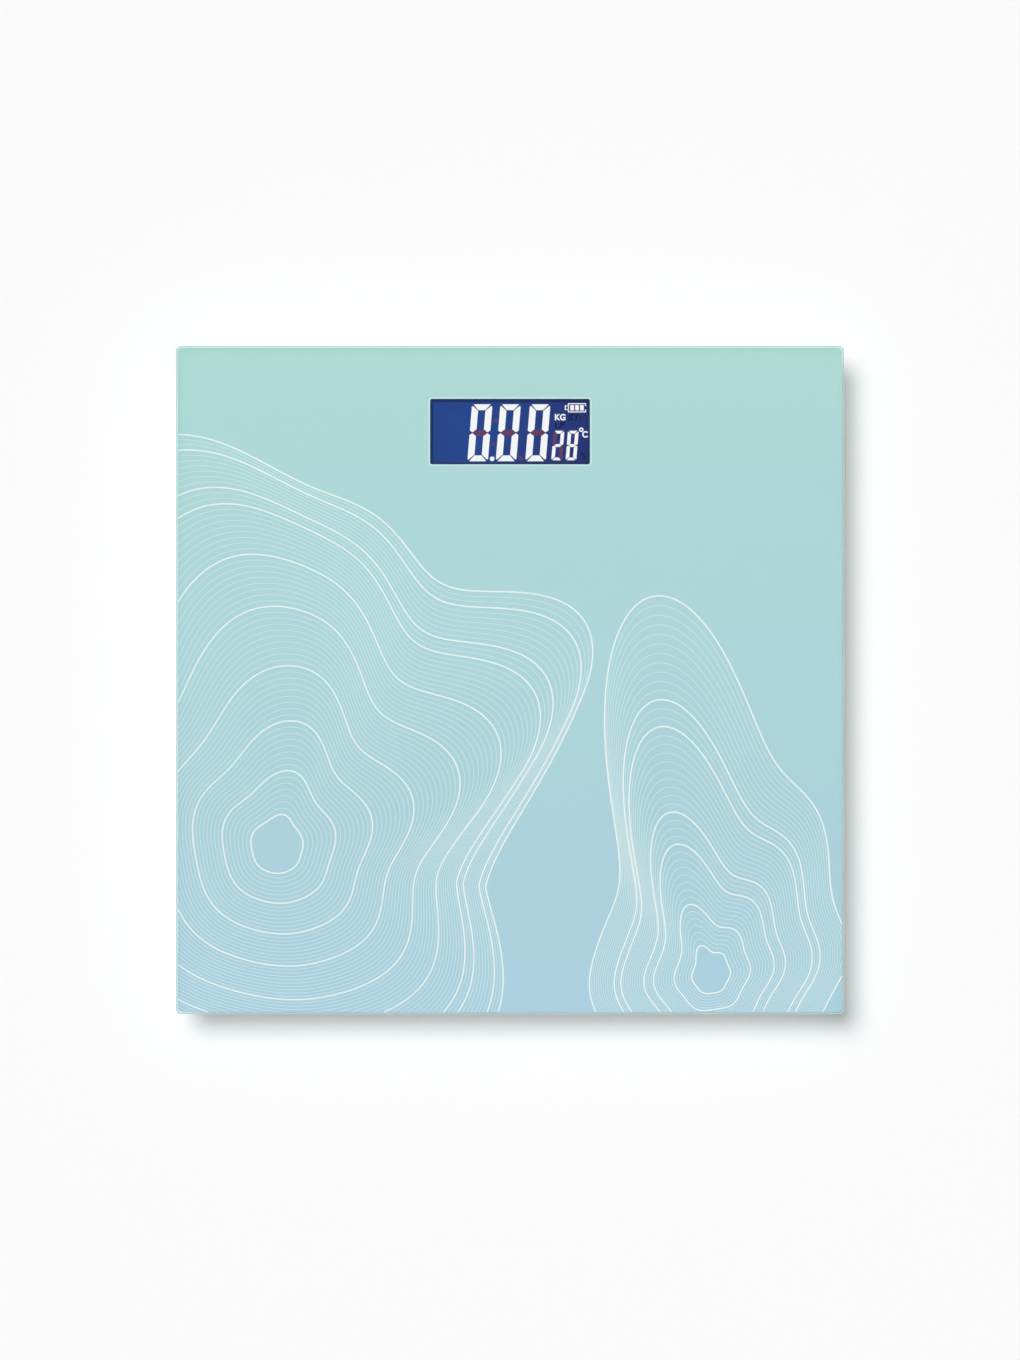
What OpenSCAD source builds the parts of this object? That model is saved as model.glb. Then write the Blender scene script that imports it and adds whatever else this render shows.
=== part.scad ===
// Glass-topped digital bathroom scale on a moulded base tray, with a load cell over each foot.
// Origin on the floor under the middle of the platform, +Z up, +Y towards the display edge.

/* [Platform] */
// Width of the glass platform
platform_w = 280; // [260:1:340]
// Depth of the glass platform
platform_d = 280; // [270:1:340]
// Height from the floor to the top of the glass
overall_h = 24; // [24:0.5:30]
// Thickness of the tempered glass
glass_t = 5; // [4.5:0.1:5]
// Radius of the corners of the glass in plan
glass_corner_r = 2; // [1:0.5:8]
// Chamfer ground along the edges of the glass
glass_chamfer = 0.4; // [0.2:0.1:0.8]
// Thickness of the printed film behind the glass
film_t = 0.2; // [0.1:0.05:0.3]
// Margin of bare glass round the printed film
film_margin = 0.6; // [0.2:0.1:2]
// Thickness of the foam tape between the tray and the film
tape_t = 0.75; // [0.5:0.05:0.9]
// Width of the foam tape on the rim of the tray
tape_w = 4.5; // [2:0.1:5]

/* [Display] */
// Width of the clear window in the print
window_w = 67; // [50:1:67]
// Depth of the clear window in the print
window_d = 27.4; // [20:0.2:29]
// Radius of the corners of the window
window_corner_r = 0.8; // [0.4:0.1:3]
// From the display edge of the glass to the middle of the window
window_edge = 35.8; // [34:0.1:38]
// Thickness of the foam gasket round the window
gasket_t = 0.6; // [0.4:0.1:0.8]
// Width of the foam gasket
gasket_w = 2.5; // [1:0.1:3.5]
// How far the bezel's lip covers the ends of the panel
lip_w = 2.4; // [2:0.1:2.4]
// How far the bezel's lip covers the long edges of the panel
lip_d = 1.7; // [1.5:0.1:1.7]
// Thickness of the bezel's lip over the panel
lip_t = 0.75; // [0.5:0.05:1]
// Thickness of the bezel's side walls
bezel_wall = 2; // [1.2:0.1:3]
// Width of the liquid crystal panel
panel_w = 73; // [73:0.5:76]
// Depth of the liquid crystal panel
panel_d = 32; // [32:0.5:34]
// Thickness of the liquid crystal panel
panel_t = 2.2; // [1.8:0.1:2.4]
// Depth of each contact ledge along the panel's long edges
ledge_d = 1.4; // [1:0.1:1.6]
// Thickness of the polariser on the panel
polariser_t = 0.15; // [0.1:0.05:0.3]
// Thickness of the light guide behind the panel
guide_t = 2; // [1.6:0.1:2.2]
// Thickness of the reflector sheet under the light guide
reflector_t = 0.4; // [0.2:0.1:0.5]

/* [Base tray] */
// Height of the tray's underside above the floor
ground_gap = 4; // [3.5:0.1:4]
// From the edge of the glass to the rim of the tray
tray_inset = 5; // [3:0.5:8]
// Radius of the tray's corners at the rim
tray_corner_r = 14; // [13:0.5:24]
// Thickness of the tray's floor and walls
tray_wall = 2; // [1.6:0.1:2.2]
// How far the rim flange stands out from the walls
flange_w = 3; // [2:0.1:4]
// Thickness of the rim flange
flange_t = 1.5; // [1:0.1:3]
// How far the walls lean in from the flange to the fillet
wall_draft = 1.5; // [0.5:0.1:2]
// Outer radius between the walls and the floor
bottom_r = 4; // [3:0.1:4]
// Thickness of the stiffening ribs
rib_t = 1.4; // [1:0.1:2]
// How far the ribs stop below the rim
rib_drop = 0.4; // [0.2:0.1:1]
// Half the distance between the two ribs of a pair
rib_spread = 12; // [8:1:16]
// Radius of the ring where the ribs meet
hub_r = 26; // [16:1:30]

/* [Feet] */
// From the foot of the tray's wall to the well over a foot
well_edge = 2.5; // [2.5:0.1:6]
// Outer radius of the foot cup
foot_r = 21; // [20:0.1:21]
// Gap between the foot cup and its opening in the tray
foot_gap = 0.6; // [0.4:0.1:0.8]
// How far the captive flange stands out from the cup
foot_flange_w = 2; // [1.5:0.1:2.2]
// Thickness of the captive flange
foot_flange_t = 1; // [0.8:0.1:1.2]
// Height of the flange above the tray's floor at rest
foot_lift = 0.6; // [0.4:0.1:0.8]
// Thickness of the foot cup's floor
cup_floor_t = 1.6; // [1.2:0.1:2]
// Thickness of the foot cup's wall
cup_wall = 1.6; // [1.2:0.1:2]
// Radius of the boss that bears on the load cell
foot_boss_r = 5; // [3:0.1:5]
// Number of ribs inside the foot cup
cup_ribs = 6; // [4:1:10]
// Radius of the rubber pad
pad_r = 18.5; // [16:0.1:19]
// Thickness of the rubber pad
pad_t = 3; // [2.5:0.1:3]
// How far the rubber stands below the foot cup
pad_proud = 1.8; // [1:0.1:2]
// Depth and width of the grip grooves in the rubber
pad_groove = 0.8; // [0.4:0.1:1]

/* [Load cells] */
// Side of the square load cell
cell_w = 34; // [32:0.5:34]
// Radius of the load cell's corners
cell_corner_r = 5; // [4:0.5:8]
// Thickness of the steel
cell_t = 2; // [1.6:0.1:2]
// Width of the slots cut through the steel
cell_slot = 1.6; // [1:0.1:2]
// Width of the outer frame that is clamped
cell_frame = 3.2; // [2.6:0.1:3.4]
// Width of the bending beams between the slots
cell_beam = 3; // [2.4:0.1:3.2]
// Height of the seat above the load cell, where the tongue bends
seat_h = 2.2; // [2:0.1:2.4]
// Thickness of the tray above the well
well_top_t = 1.8; // [1.4:0.1:2]
// Thickness of the well's wall
well_wall = 1.6; // [1.2:0.1:1.6]
// Thickness of the clamp ring
clamp_t = 1.6; // [1.2:0.1:1.7]
// Radius of the hole through the clamp ring
clamp_hole_r = 14; // [12:0.5:14.5]
// Radius of the clamp screw bosses
cell_boss_r = 2.6; // [2.2:0.1:2.8]
// Gap between the clamp screw bosses and the load cell
cell_boss_gap = 0.6; // [0.3:0.1:1]
// From the clamp's screw heads to its edge
clamp_edge = 1.2; // [0.8:0.1:1.2]
// Gap between the clamp ring and the well
clamp_gap = 0.4; // [0.2:0.1:0.5]

/* [Battery compartment] */
// Diameter of one AAA cell
battery_dia = 10.5; // [9.8:0.1:10.5]
// Length of one AAA cell with its nub
battery_len = 44.5; // [43.5:0.1:44.5]
// Length of the compressed contact springs
spring_len = 4; // [3:0.1:6]
// Radius of the contact springs
spring_r = 3; // [2:0.1:3.5]
// Radius of the spring wire
spring_wire_r = 0.35; // [0.25:0.05:0.45]
// Number of turns of a contact spring
spring_turns = 4; // [3:0.5:5]
// Thickness of the contact plates
contact_t = 0.4; // [0.3:0.05:0.5]
// Width and height of one contact plate
contact_w = 9; // [8:0.1:9.5]
// From the middle of the window to the middle of the compartment
compartment_back = 49.2; // [48:0.1:56]
// Thickness of the compartment's walls and roof
compartment_wall = 1.2; // [1:0.1:1.4]
// Width of the ledge round the battery door
door_ledge = 2.6; // [2:0.1:3]
// Thickness of the battery door
door_t = 1.6; // [1.4:0.1:1.7]
// Gap round the edges of the battery door
door_gap = 0.4; // [0.3:0.1:0.5]
// Thickness of the foam pad on the battery door
door_foam_t = 0.3; // [0.2:0.05:0.35]
// Radius of the door's moulded hinge pins
pin_r = 0.7; // [0.6:0.05:0.8]
// Radial running clearance of the hinge pins
pin_clear = 0.08; // [0.06:0.01:0.1]
// Length of each hinge pin
pin_len = 1.2; // [0.8:0.1:1.5]
// Width of each hinge knuckle
knuckle_w = 6; // [4:0.5:8]
// Distance between the two hinge knuckles
knuckle_pitch = 30; // [20:1:34]

/* [Circuit board] */
// Width of the circuit board
board_w = 100; // [98:1:106]
// Depth of the circuit board
board_d = 50; // [46:0.5:50]
// Thickness of the circuit board
board_t = 1.6; // [1.2:0.1:1.6]
// How far the board's middle lies behind the window's middle
board_back = 4; // [3.5:0.1:4.5]
// From the board's edges to its screws
board_screw_inset = 3.8; // [3.5:0.1:4.5]
// Radius of the board's bosses
board_boss_r = 3.2; // [2.8:0.1:3.4]
// Radius of all screw shanks
screw_r = 1.1; // [1:0.05:1.3]
// Radius of all screw heads
screw_head_r = 2.2; // [1.9:0.1:2.5]
// Height of all screw heads
screw_head_h = 1.3; // [1:0.1:1.4]
// Length of the screw shanks
screw_len = 5; // [4:0.1:5.2]

/* [Unit button] */
// From the middle of the board to the unit button, across
button_x = 38; // [34:0.5:40]
// From the middle of the board to the unit button, towards the rear
button_back = 14; // [10:0.5:15]
// Radius of the button's cap
button_r = 5; // [4:0.1:6]
// Gap between the button and its hole
button_gap = 0.3; // [0.25:0.05:0.5]
// How far the button's face lies above the tray's underside
button_recess = 0.5; // [0.2:0.1:0.8]
// Width of the button's flange
button_flange_w = 1.6; // [1:0.1:2]
// Travel of the button
button_travel = 0.4; // [0.25:0.05:0.5]
// Side of the switch body
switch_w = 6; // [5:0.1:7]
// Height of the switch body
switch_h = 3.4; // [3:0.1:3.6]
// Radius of the switch plunger
plunger_r = 1.6; // [1.2:0.05:1.8]

/* [Leads] */
// Radius of one lead with its insulation
lead_r = 0.5; // [0.35:0.05:0.55]
// Distance between the leads of a cable
lead_pitch = 1.3; // [1.2:0.05:1.5]
// Radius of the bends in the leads
lead_bend = 8; // [4:1:10]

/* [Hidden] */
$fn = 64;
// Gap between the glass and the film, filled by clear adhesive
film_gap = 0.05;
// Gap between pieces that drop into each other
seat_gap = 0.1;
// How far a cutter runs past the face that it cuts
past = 1;
// How far a rib or boss is sunk into the wall that carries it
root = 0.5;

half_w = platform_w / 2;
half_d = platform_d / 2;

z_glass = overall_h - glass_t;
z_film = z_glass - film_gap - film_t;
z_rim = z_film - tape_t;
z_deck = ground_gap + tray_wall;
z_rib = z_rim - rib_drop;

tray_w = platform_w - 2 * tray_inset;
tray_d = platform_d - 2 * tray_inset;

foot_flange_r = foot_r + foot_flange_w;
cell_boss_y = cell_w / 2 + cell_boss_r + cell_boss_gap;
clamp_r = cell_boss_y + screw_head_r + clamp_edge;
flange_clear = 1;
well_r = max(foot_flange_r + flange_clear, clamp_r + clamp_gap);
foot_inset = tray_inset + flange_w + wall_draft + well_edge + well_r;
foot_x = half_w - foot_inset;
foot_y = half_d - foot_inset;
z_well_top = z_rim - well_top_t;
z_cell_top = z_well_top - seat_h;
z_cell = z_cell_top - cell_t;
z_clamp = z_cell - clamp_t;
z_flange = z_deck + foot_lift;
tongue_w = cell_w - 2 * (cell_frame + 2 * cell_slot + cell_beam);
sealant_h = 1.5;
sealant_x = -tongue_w / 2;

window_y = half_d - window_edge;
z_gasket = z_film - gasket_t;
z_panel_top = z_gasket - lip_t;
z_panel = z_panel_top - panel_t;
z_guide = z_panel - guide_t;
z_board_top = z_guide - reflector_t;
z_board = z_board_top - board_t;
bezel_open_w = panel_w - 2 * lip_w;
bezel_open_d = panel_d - 2 * lip_d;
bezel_w = panel_w + 2 * (seat_gap + bezel_wall);
bezel_d = panel_d + 2 * (seat_gap + bezel_wall);
board_y = window_y - board_back;
board_screw_x = board_w / 2 - board_screw_inset;
board_screw_y = board_d / 2 - board_screw_inset;
lamp_w = 1.4;
bead_r = 1.1;
strip_inset = 3;
guide_w = panel_w - 2 * (lamp_w + seat_gap);
guide_d = panel_d - 2 * (ledge_d + seat_gap);

compartment_y = window_y - compartment_back;
battery_r = battery_dia / 2;
z_door_top = ground_gap + door_t;
z_battery = z_door_top + door_foam_t + seat_gap + battery_r;
z_roof = z_battery + battery_r + 0.3;
battery_pitch = battery_dia + 0.8;
cavity_w = battery_len + spring_len + 2 * contact_t;
cavity_d = battery_pitch + battery_dia + 1;
nub_len = 0.8;
nub_r = 1.8;
hinge_drop = 1.4;
hinge_back = 2.4;
hinge_z = ground_gap + hinge_drop;
knuckle_r = 1.2;
knuckle_clear = 0.4;
recess_w = cavity_w + 2 * door_ledge;
recess_front = compartment_y + cavity_d / 2 + door_ledge;
recess_rear = compartment_y - cavity_d / 2 - door_ledge;
// The door's rear edge swings past the tray's edge with 0.2 to spare
hinge_y = recess_rear - sqrt(hinge_back * hinge_back - hinge_drop * hinge_drop) + 0.2;
notch_rear = hinge_y - hinge_drop - knuckle_clear;
door_w = recess_w - 2 * door_gap;
door_rear = hinge_y + hinge_back;
door_front = recess_front - door_gap;
ledge_t = 1.2;
z_ledge_top = z_door_top + seat_gap + ledge_t + 0.5;
tail_w = 2.4;
tail_len = 2.5;

unit_x = button_x;
unit_y = board_y - button_back;
z_switch = z_board - switch_h;
z_plunger = z_switch - button_travel - 0.1;
button_flange_t = z_plunger - z_deck - 0.05;
plunger_bore = 0.1;

z_lead = z_cell_top + sealant_h / 2;
z_pad = z_board_top + lead_r + 0.05;

CORNERS = [
    ["front_left", -1, 1], ["front_right", 1, 1],
    ["rear_left", -1, -1], ["rear_right", 1, -1]
];
CORNER_KINDS = ["foot_pad", "foot_cup", "load_cell", "cell_clamp", "cell_leads"];

// ---- shared shapes ----

// A rectangle about the origin with round corners.
module rounded_rect(w, d, r) {
    square([w - 2 * r, d], center = true);
    square([w, d - 2 * r], center = true);
    for (sx = [-1, 1], sy = [-1, 1])
        translate([sx * (w / 2 - r), sy * (d / 2 - r)]) circle(r);
}

// A plate with round corners, its underside at height z.
module rounded_plate(w, d, r, z, t) {
    translate([0, 0, z]) linear_extrude(t) rounded_rect(w, d, r);
}

// A flat frame: a plate with round corners and a round-cornered opening.
module frame_plate(w, d, r, open_w, open_d, open_r, z, t) {
    translate([0, 0, z]) linear_extrude(t) difference() {
        rounded_rect(w, d, r);
        rounded_rect(open_w, open_d, open_r);
    }
}

// A block about the point (x, y), from height z up to z + h.
module block(x, y, z, w, d, h) {
    translate([x - w / 2, y - d / 2, z]) cube([w, d, h]);
}

// A half profile carried round a w by d outline whose corners have radius r. The profile starts at x = 0,
// the corner's axis, and its core fills the middle from z0 to z1.
module outline_sweep(w, d, r, z0, z1) {
    for (sx = [-1, 1], sy = [-1, 1])
        translate([sx * (w / 2 - r), sy * (d / 2 - r), 0]) rotate_extrude() children();
    for (side = [[w, d, 0], [d, w, 90]])
        rotate([90, 0, side[2]]) linear_extrude(side[1] - 2 * r, center = true) {
            for (m = [0, 1]) mirror([m, 0]) translate([side[0] / 2 - r, 0]) children();
            translate([r - side[0] / 2, z0]) square([side[0] - 2 * r, z1 - z0]);
        }
}

// The children at one foot, with local -X towards the middle of the scale.
module at_corner(c) {
    translate([c[1] * foot_x, c[2] * foot_y, 0]) mirror([c[1] < 0 ? 1 : 0, 0, 0]) children();
}

// The children at all four feet.
module at_corners() {
    for (c = CORNERS) at_corner(c) children();
}

// A pan-head screw, its head's seat at height z, pointing up (1) or down (-1).
module screw(z, up) {
    translate([0, 0, z]) mirror([0, 0, up > 0 ? 0 : 1]) {
        cylinder(r = screw_r, h = screw_len);
        difference() {
            translate([0, 0, -screw_head_h]) cylinder(r = screw_head_r, h = screw_head_h);
            for (a = [0, 90]) rotate(a)
                translate([-screw_r, -0.2, -screw_head_h - past]) cube([2 * screw_r, 0.4, past + 0.6]);
        }
    }
}

function unit(v) = v / norm(v);

// A route with each inner corner replaced by a smooth bend.
function bent(route, steps = 3) = [
    route[0],
    for (i = [1 : len(route) - 2])
        let (b = route[i], to_a = route[i - 1] - b, to_c = route[i + 1] - b,
             reach = min(lead_bend, norm(to_a) / 2.05, norm(to_c) / 2.05),
             p = b + unit(to_a) * reach, q = b + unit(to_c) * reach)
            for (k = [0 : steps])
                let (t = k / steps) (1 - t) * (1 - t) * p + 2 * t * (1 - t) * b + t * t * q,
    route[len(route) - 1]
];

// The direction of travel at point i of a path.
function heading(path, i) =
    unit(path[min(i + 1, len(path) - 1)] - path[max(i - 1, 0)]);

// A path moved sideways by a distance, measured level and square to its direction.
function beside(path, distance) = [
    for (i = [0 : len(path) - 1])
        let (h = heading(path, i)) path[i] + unit([-h.y, h.x, 0]) * distance
];

// A round wire along a path that is never vertical.
module wire(path, r, sides = 6) {
    rings = [
        for (i = [0 : len(path) - 1])
            let (h = heading(path, i), side = unit(cross(h, [0, 0, 1])), up = cross(side, h))
                for (j = [0 : sides - 1])
                    path[i] + r * (cos(360 * j / sides) * side + sin(360 * j / sides) * up)
    ];
    last = len(path) - 1;
    polyhedron(rings, concat(
        [[for (j = [0 : sides - 1]) j]],
        [for (i = [0 : last - 1], j = [0 : sides - 1])
            let (k = (j + 1) % sides)
                [i * sides + k, i * sides + j, (i + 1) * sides + j, (i + 1) * sides + k]],
        [[for (j = [sides - 1 : -1 : 0]) last * sides + j]]
    ));
}

// The route of a load cell's cable, from the sealant to the board. Level until it steps down to the board.
function cell_route(c) =
    let (x = c[1], start = foot_x + sealant_x - 3, board = board_w / 2, level = foot_y)
        c[2] > 0
            ? [[x * start, level, z_lead], [x * (foot_x - well_r), level, z_lead],
               [x * (board + 12), board_y + 3, z_lead], [x * (board + 5), board_y + 3, z_lead],
               [x * (board + 1), board_y + 3, z_pad], [x * (board - 5), board_y + 3, z_pad]]
            : [[x * start, -level, z_lead], [x * (board + 12), -level, z_lead],
               [x * (board + 12), board_y - 0.36 * board_d, z_lead],
               [x * (board + 10), board_y - 0.14 * board_d, z_lead],
               [x * (board + 1), board_y - 0.14 * board_d, z_pad],
               [x * (board - 5), board_y - 0.14 * board_d, z_pad]];

// The route of a battery lead from its contact's tail to the board.
function battery_route(y, run, end) =
    let (tail = -cavity_w / 2 - compartment_wall - tail_len - seat_gap, edge = board_y - board_d / 2)
        [[tail - lead_r, y, z_battery], [tail - run, y + lead_bend / 4, z_battery],
         [tail - run, edge - lead_bend, z_battery], [tail - run, edge - lead_bend / 4, z_pad],
         [end, edge + lead_bend / 4, z_pad], [end, edge + 0.1 * board_d, z_pad]];

// The clear way for a cable of a given width, open at the top of the ribs.
module channel(route, width, depth) {
    for (i = [0 : len(route) - 2])
        let (a = route[i], b = route[i + 1], run = b - a)
            translate([a.x, a.y, min(a.z, b.z) - depth])
                rotate(atan2(run.y, run.x))
                    translate([-width / 2, -width / 2, 0])
                        cube([norm([run.x, run.y]) + width, width, z_rim]);
}

// ---- platform ----

// Tempered glass panel with ground edges.
module glass_platform() {
    color([0.72, 0.86, 0.84, 0.45])
        outline_sweep(platform_w, platform_d, glass_corner_r, z_glass, overall_h)
            polygon([
                [0, z_glass], [glass_corner_r - glass_chamfer, z_glass],
                [glass_corner_r, z_glass + glass_chamfer], [glass_corner_r, overall_h - glass_chamfer],
                [glass_corner_r - glass_chamfer, overall_h], [0, overall_h]
            ]);
}

// Printed film that covers the back of the glass, with a clear window over the display.
module printed_film() {
    color([0.68, 0.84, 0.85])
        translate([0, 0, z_film]) linear_extrude(film_t) difference() {
            rounded_rect(platform_w - 2 * film_margin, platform_d - 2 * film_margin, glass_corner_r);
            translate([0, window_y]) rounded_rect(window_w, window_d, window_corner_r);
        }
}

// Foam tape along the rim and on top of each well.
module bonding_tape() {
    color([0.93, 0.93, 0.91]) {
        frame_plate(tray_w - 2 * seat_gap, tray_d - 2 * seat_gap, tray_corner_r,
                    tray_w - 2 * tape_w, tray_d - 2 * tape_w, tray_corner_r - tape_w / 2, z_rim, tape_t);
        at_corners() translate([0, 0, z_rim]) difference() {
            cylinder(r = cell_w / 2, h = tape_t);
            translate([0, 0, -past]) cylinder(r = foot_boss_r, h = tape_t + 2 * past);
        }
    }
}

// ---- base tray ----

// Outer half profile of the tray: floor, fillet, leaning wall and rim flange.
module tray_profile() {
    wall_x = tray_corner_r - flange_w;
    foot_of_wall = wall_x - wall_draft;
    arc_x = foot_of_wall - bottom_r;
    polygon([
        [0, ground_gap], [arc_x, ground_gap], [arc_x, ground_gap + bottom_r],
        [foot_of_wall, ground_gap + bottom_r], [wall_x, z_rim - flange_t], [0, z_rim - flange_t]
    ]);
    translate([arc_x, ground_gap + bottom_r]) circle(bottom_r);
    translate([0, z_rim - flange_t]) square([tray_corner_r, flange_t]);
}

// Half profile of the tray's hollow, one wall thickness inside the outer one.
module tray_hollow_profile() {
    wall_x = tray_corner_r - flange_w - tray_wall;
    foot_of_wall = wall_x - wall_draft;
    arc_r = bottom_r - tray_wall;
    arc_x = foot_of_wall - arc_r;
    polygon([
        [0, z_deck], [arc_x, z_deck], [arc_x, ground_gap + bottom_r],
        [foot_of_wall, ground_gap + bottom_r], [wall_x, z_rim - flange_t],
        [wall_x, z_rim + past], [0, z_rim + past]
    ]);
    translate([arc_x, ground_gap + bottom_r]) circle(arc_r);
}

// A stiffening rib between two points of the tray's floor.
module rib(a, b) {
    run = b - a;
    translate([a.x, a.y, z_deck - root]) rotate(atan2(run.y, run.x))
        translate([0, -rib_t / 2, 0]) cube([norm(run), rib_t, z_rib - z_deck + root]);
}

// Rib pairs between the wells, diagonals to the hub, and cross ribs.
module tray_ribs() {
    for (side = [-1, 1], pair = [-1, 1])
        rib([side * foot_x + pair * rib_spread, -foot_y], [side * foot_x + pair * rib_spread, foot_y]);
    for (pair = [-1, 1])
        rib([-foot_x, -foot_y + pair * rib_spread], [foot_x, -foot_y + pair * rib_spread]);
    for (c = CORNERS) rib([0, 0], [c[1] * foot_x, c[2] * foot_y]);
    for (side = [-1, 1]) {
        rib([0, 0], [side * (foot_x - rib_spread), 0]);
        rib([side * cavity_w / 2, compartment_y], [side * (foot_x - rib_spread), compartment_y]);
    }
    rib([0, -foot_y + rib_spread], [0, compartment_y - cavity_d / 2]);
    translate([0, 0, z_deck - root]) difference() {
        cylinder(r = hub_r, h = z_rib - z_deck + root);
        translate([0, 0, -past]) cylinder(r = hub_r - rib_t, h = z_rim);
    }
}

// The seat that a load cell's frame is clamped against, and its two screw bosses.
module cell_seat() {
    frame = cell_w - 2 * seat_gap;
    difference() {
        union() {
            frame_plate(frame, frame, cell_corner_r, cell_w - 2 * cell_frame, cell_w - 2 * cell_frame,
                        cell_corner_r - cell_frame / 2, z_cell_top, seat_h + root);
            for (side = [-1, 1]) translate([0, side * cell_boss_y, z_cell])
                cylinder(r = cell_boss_r, h = z_well_top - z_cell + root);
        }
        for (side = [-1, 1]) translate([0, side * cell_boss_y, z_cell - past])
            cylinder(r = screw_r, h = screw_len - clamp_t + past + seat_gap);
        block(-cell_w / 2, 0, z_cell_top - past, 2 * cell_frame + 2, 4 * lead_pitch, seat_h + past);
    }
}

// Walls, ledge and roof round the two cells, before the hollow is cut.
module compartment_block() {
    block(0, compartment_y, z_deck - root, cavity_w + 2 * compartment_wall,
          cavity_d + 2 * compartment_wall, z_roof + compartment_wall - z_deck + root);
    rear = notch_rear - compartment_wall;
    front = recess_front + compartment_wall;
    block(0, (rear + front) / 2, ground_gap + root, recess_w + 2 * compartment_wall,
          front - rear, z_ledge_top - ground_gap - root);
}

// The hollow for the cells, the door's recess, and the sockets of its hinge.
module compartment_cuts() {
    block(0, compartment_y, ground_gap - past, cavity_w, cavity_d, z_roof - ground_gap + past);
    block(0, (recess_rear + recess_front) / 2, ground_gap - past,
          recess_w, recess_front - recess_rear, door_t + seat_gap + past);
    for (side = [-1, 1]) {
        block(side * knuckle_pitch / 2, (notch_rear + recess_rear) / 2, ground_gap - past,
              knuckle_w + 2 * seat_gap, recess_rear - notch_rear + seat_gap,
              hinge_z + knuckle_r + seat_gap + past - ground_gap);
        translate([side * knuckle_pitch / 2, hinge_y, hinge_z]) rotate([0, 90, 0])
            cylinder(r = pin_r + pin_clear, h = knuckle_w + 2 * (pin_len + 2 * seat_gap), center = true);
    }
    for (end = [-1, 1]) block(-cavity_w / 2 - compartment_wall / 2, compartment_y + end * battery_pitch / 2,
                              z_battery - contact_t / 2 - 0.15, compartment_wall + 2 * root,
                              tail_w + 0.3, contact_t + 0.3);
    // Thumb notch in front of the door's latch
    translate([0, recess_front, ground_gap - past]) cylinder(r = 7, h = past + 0.8);
}

// Moulded base: shell, ribs, four wells, battery compartment, board bosses and button guide.
module base_tray() {
    color([0.94, 0.94, 0.92]) {
        difference() {
            union() {
                difference() {
                    outline_sweep(tray_w, tray_d, tray_corner_r, ground_gap, z_rim) tray_profile();
                    outline_sweep(tray_w, tray_d, tray_corner_r, z_deck, z_rim + past)
                        tray_hollow_profile();
                }
                tray_ribs();
                at_corners() translate([0, 0, z_deck - root])
                    cylinder(r = well_r + well_wall, h = z_rim - z_deck + root);
                compartment_block();
                for (sx = [-1, 1], sy = [-1, 1])
                    translate([sx * board_screw_x, board_y + sy * board_screw_y, z_deck - root])
                        cylinder(r = board_boss_r, h = z_board - z_deck + root);
                translate([unit_x, unit_y, z_deck - root])
                    cylinder(r = button_r + button_flange_w + button_gap + compartment_wall,
                             h = z_plunger - z_deck + root);
            }
            at_corners() {
                translate([0, 0, z_deck]) cylinder(r = well_r, h = z_well_top - z_deck);
                translate([0, 0, ground_gap - past])
                    cylinder(r = foot_r + foot_gap, h = tray_wall + 2 * past);
            }
            compartment_cuts();
            for (sx = [-1, 1], sy = [-1, 1])
                translate([sx * board_screw_x, board_y + sy * board_screw_y, z_deck])
                    cylinder(r = screw_r, h = z_rim);
            translate([unit_x, unit_y, ground_gap - past])
                cylinder(r = button_r + button_gap, h = tray_wall + 2 * past);
            translate([unit_x, unit_y, z_deck])
                cylinder(r = button_r + button_flange_w + button_gap, h = z_rim);
            for (c = CORNERS) {
                route = cell_route(c);
                start = [c[1] * (foot_x - well_r + 2), route[0].y, z_lead];
                channel([start, for (i = [1 : 3]) route[i]], 3 * lead_pitch + 1, lead_r + 0.7);
            }
            for (end = [-1, 1])
                channel([for (i = [1 : 3]) battery_lead_route(end)[i]], 2 * lead_pitch, lead_r + 0.7);
        }
        at_corners() cell_seat();
    }
}

// ---- feet ----

// Rubber pad with ring grooves for grip.
module foot_pad() {
    color([0.2, 0.2, 0.21])
        rotate_extrude() difference() {
            polygon([[0, 0], [pad_r - 0.5, 0], [pad_r, 0.5], [pad_r, pad_t], [0, pad_t]]);
            for (share = [0.45, 0.7])
                translate([share * pad_r, -past]) square([pad_groove, past + pad_groove]);
        }
}

// Foot cup: skirt with a captive flange, pad recess, inner ribs and the boss that lifts the tongue.
module foot_cup() {
    color([0.9, 0.9, 0.88]) {
        difference() {
            union() {
                translate([0, 0, pad_proud])
                    cylinder(r = foot_r, h = z_flange + foot_flange_t - pad_proud);
                translate([0, 0, z_flange]) cylinder(r = foot_flange_r, h = foot_flange_t);
            }
            translate([0, 0, -past]) cylinder(r = pad_r + 0.2, h = pad_t + past);
            translate([0, 0, pad_t + cup_floor_t]) cylinder(r = foot_r - cup_wall, h = overall_h);
        }
        translate([0, 0, pad_t + cup_floor_t - root])
            cylinder(r = foot_boss_r, h = z_cell - pad_t - cup_floor_t + root);
        for (i = [0 : cup_ribs - 1]) rotate(360 * i / cup_ribs)
            translate([foot_boss_r - root, -rib_t / 2, pad_t + cup_floor_t - root])
                cube([foot_r - cup_wall - foot_boss_r + 2 * root, rib_t,
                      z_flange + foot_flange_t - pad_t - cup_floor_t]);
    }
}

// ---- load cells ----

// A slot with three sides, open towards +X (1) or -X (-1), about a square of side w.
module u_slot(w, open) {
    difference() {
        square(w + 2 * cell_slot, center = true);
        square(w, center = true);
        translate([open * (w / 2 + cell_slot), 0])
            square([2 * cell_slot + 2 * cell_beam, w], center = true);
        translate([open * (w / 2 + cell_slot + past), 0])
            square([2 * cell_slot + 2 * past, w + 2 * cell_slot + past], center = true);
    }
}

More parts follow.
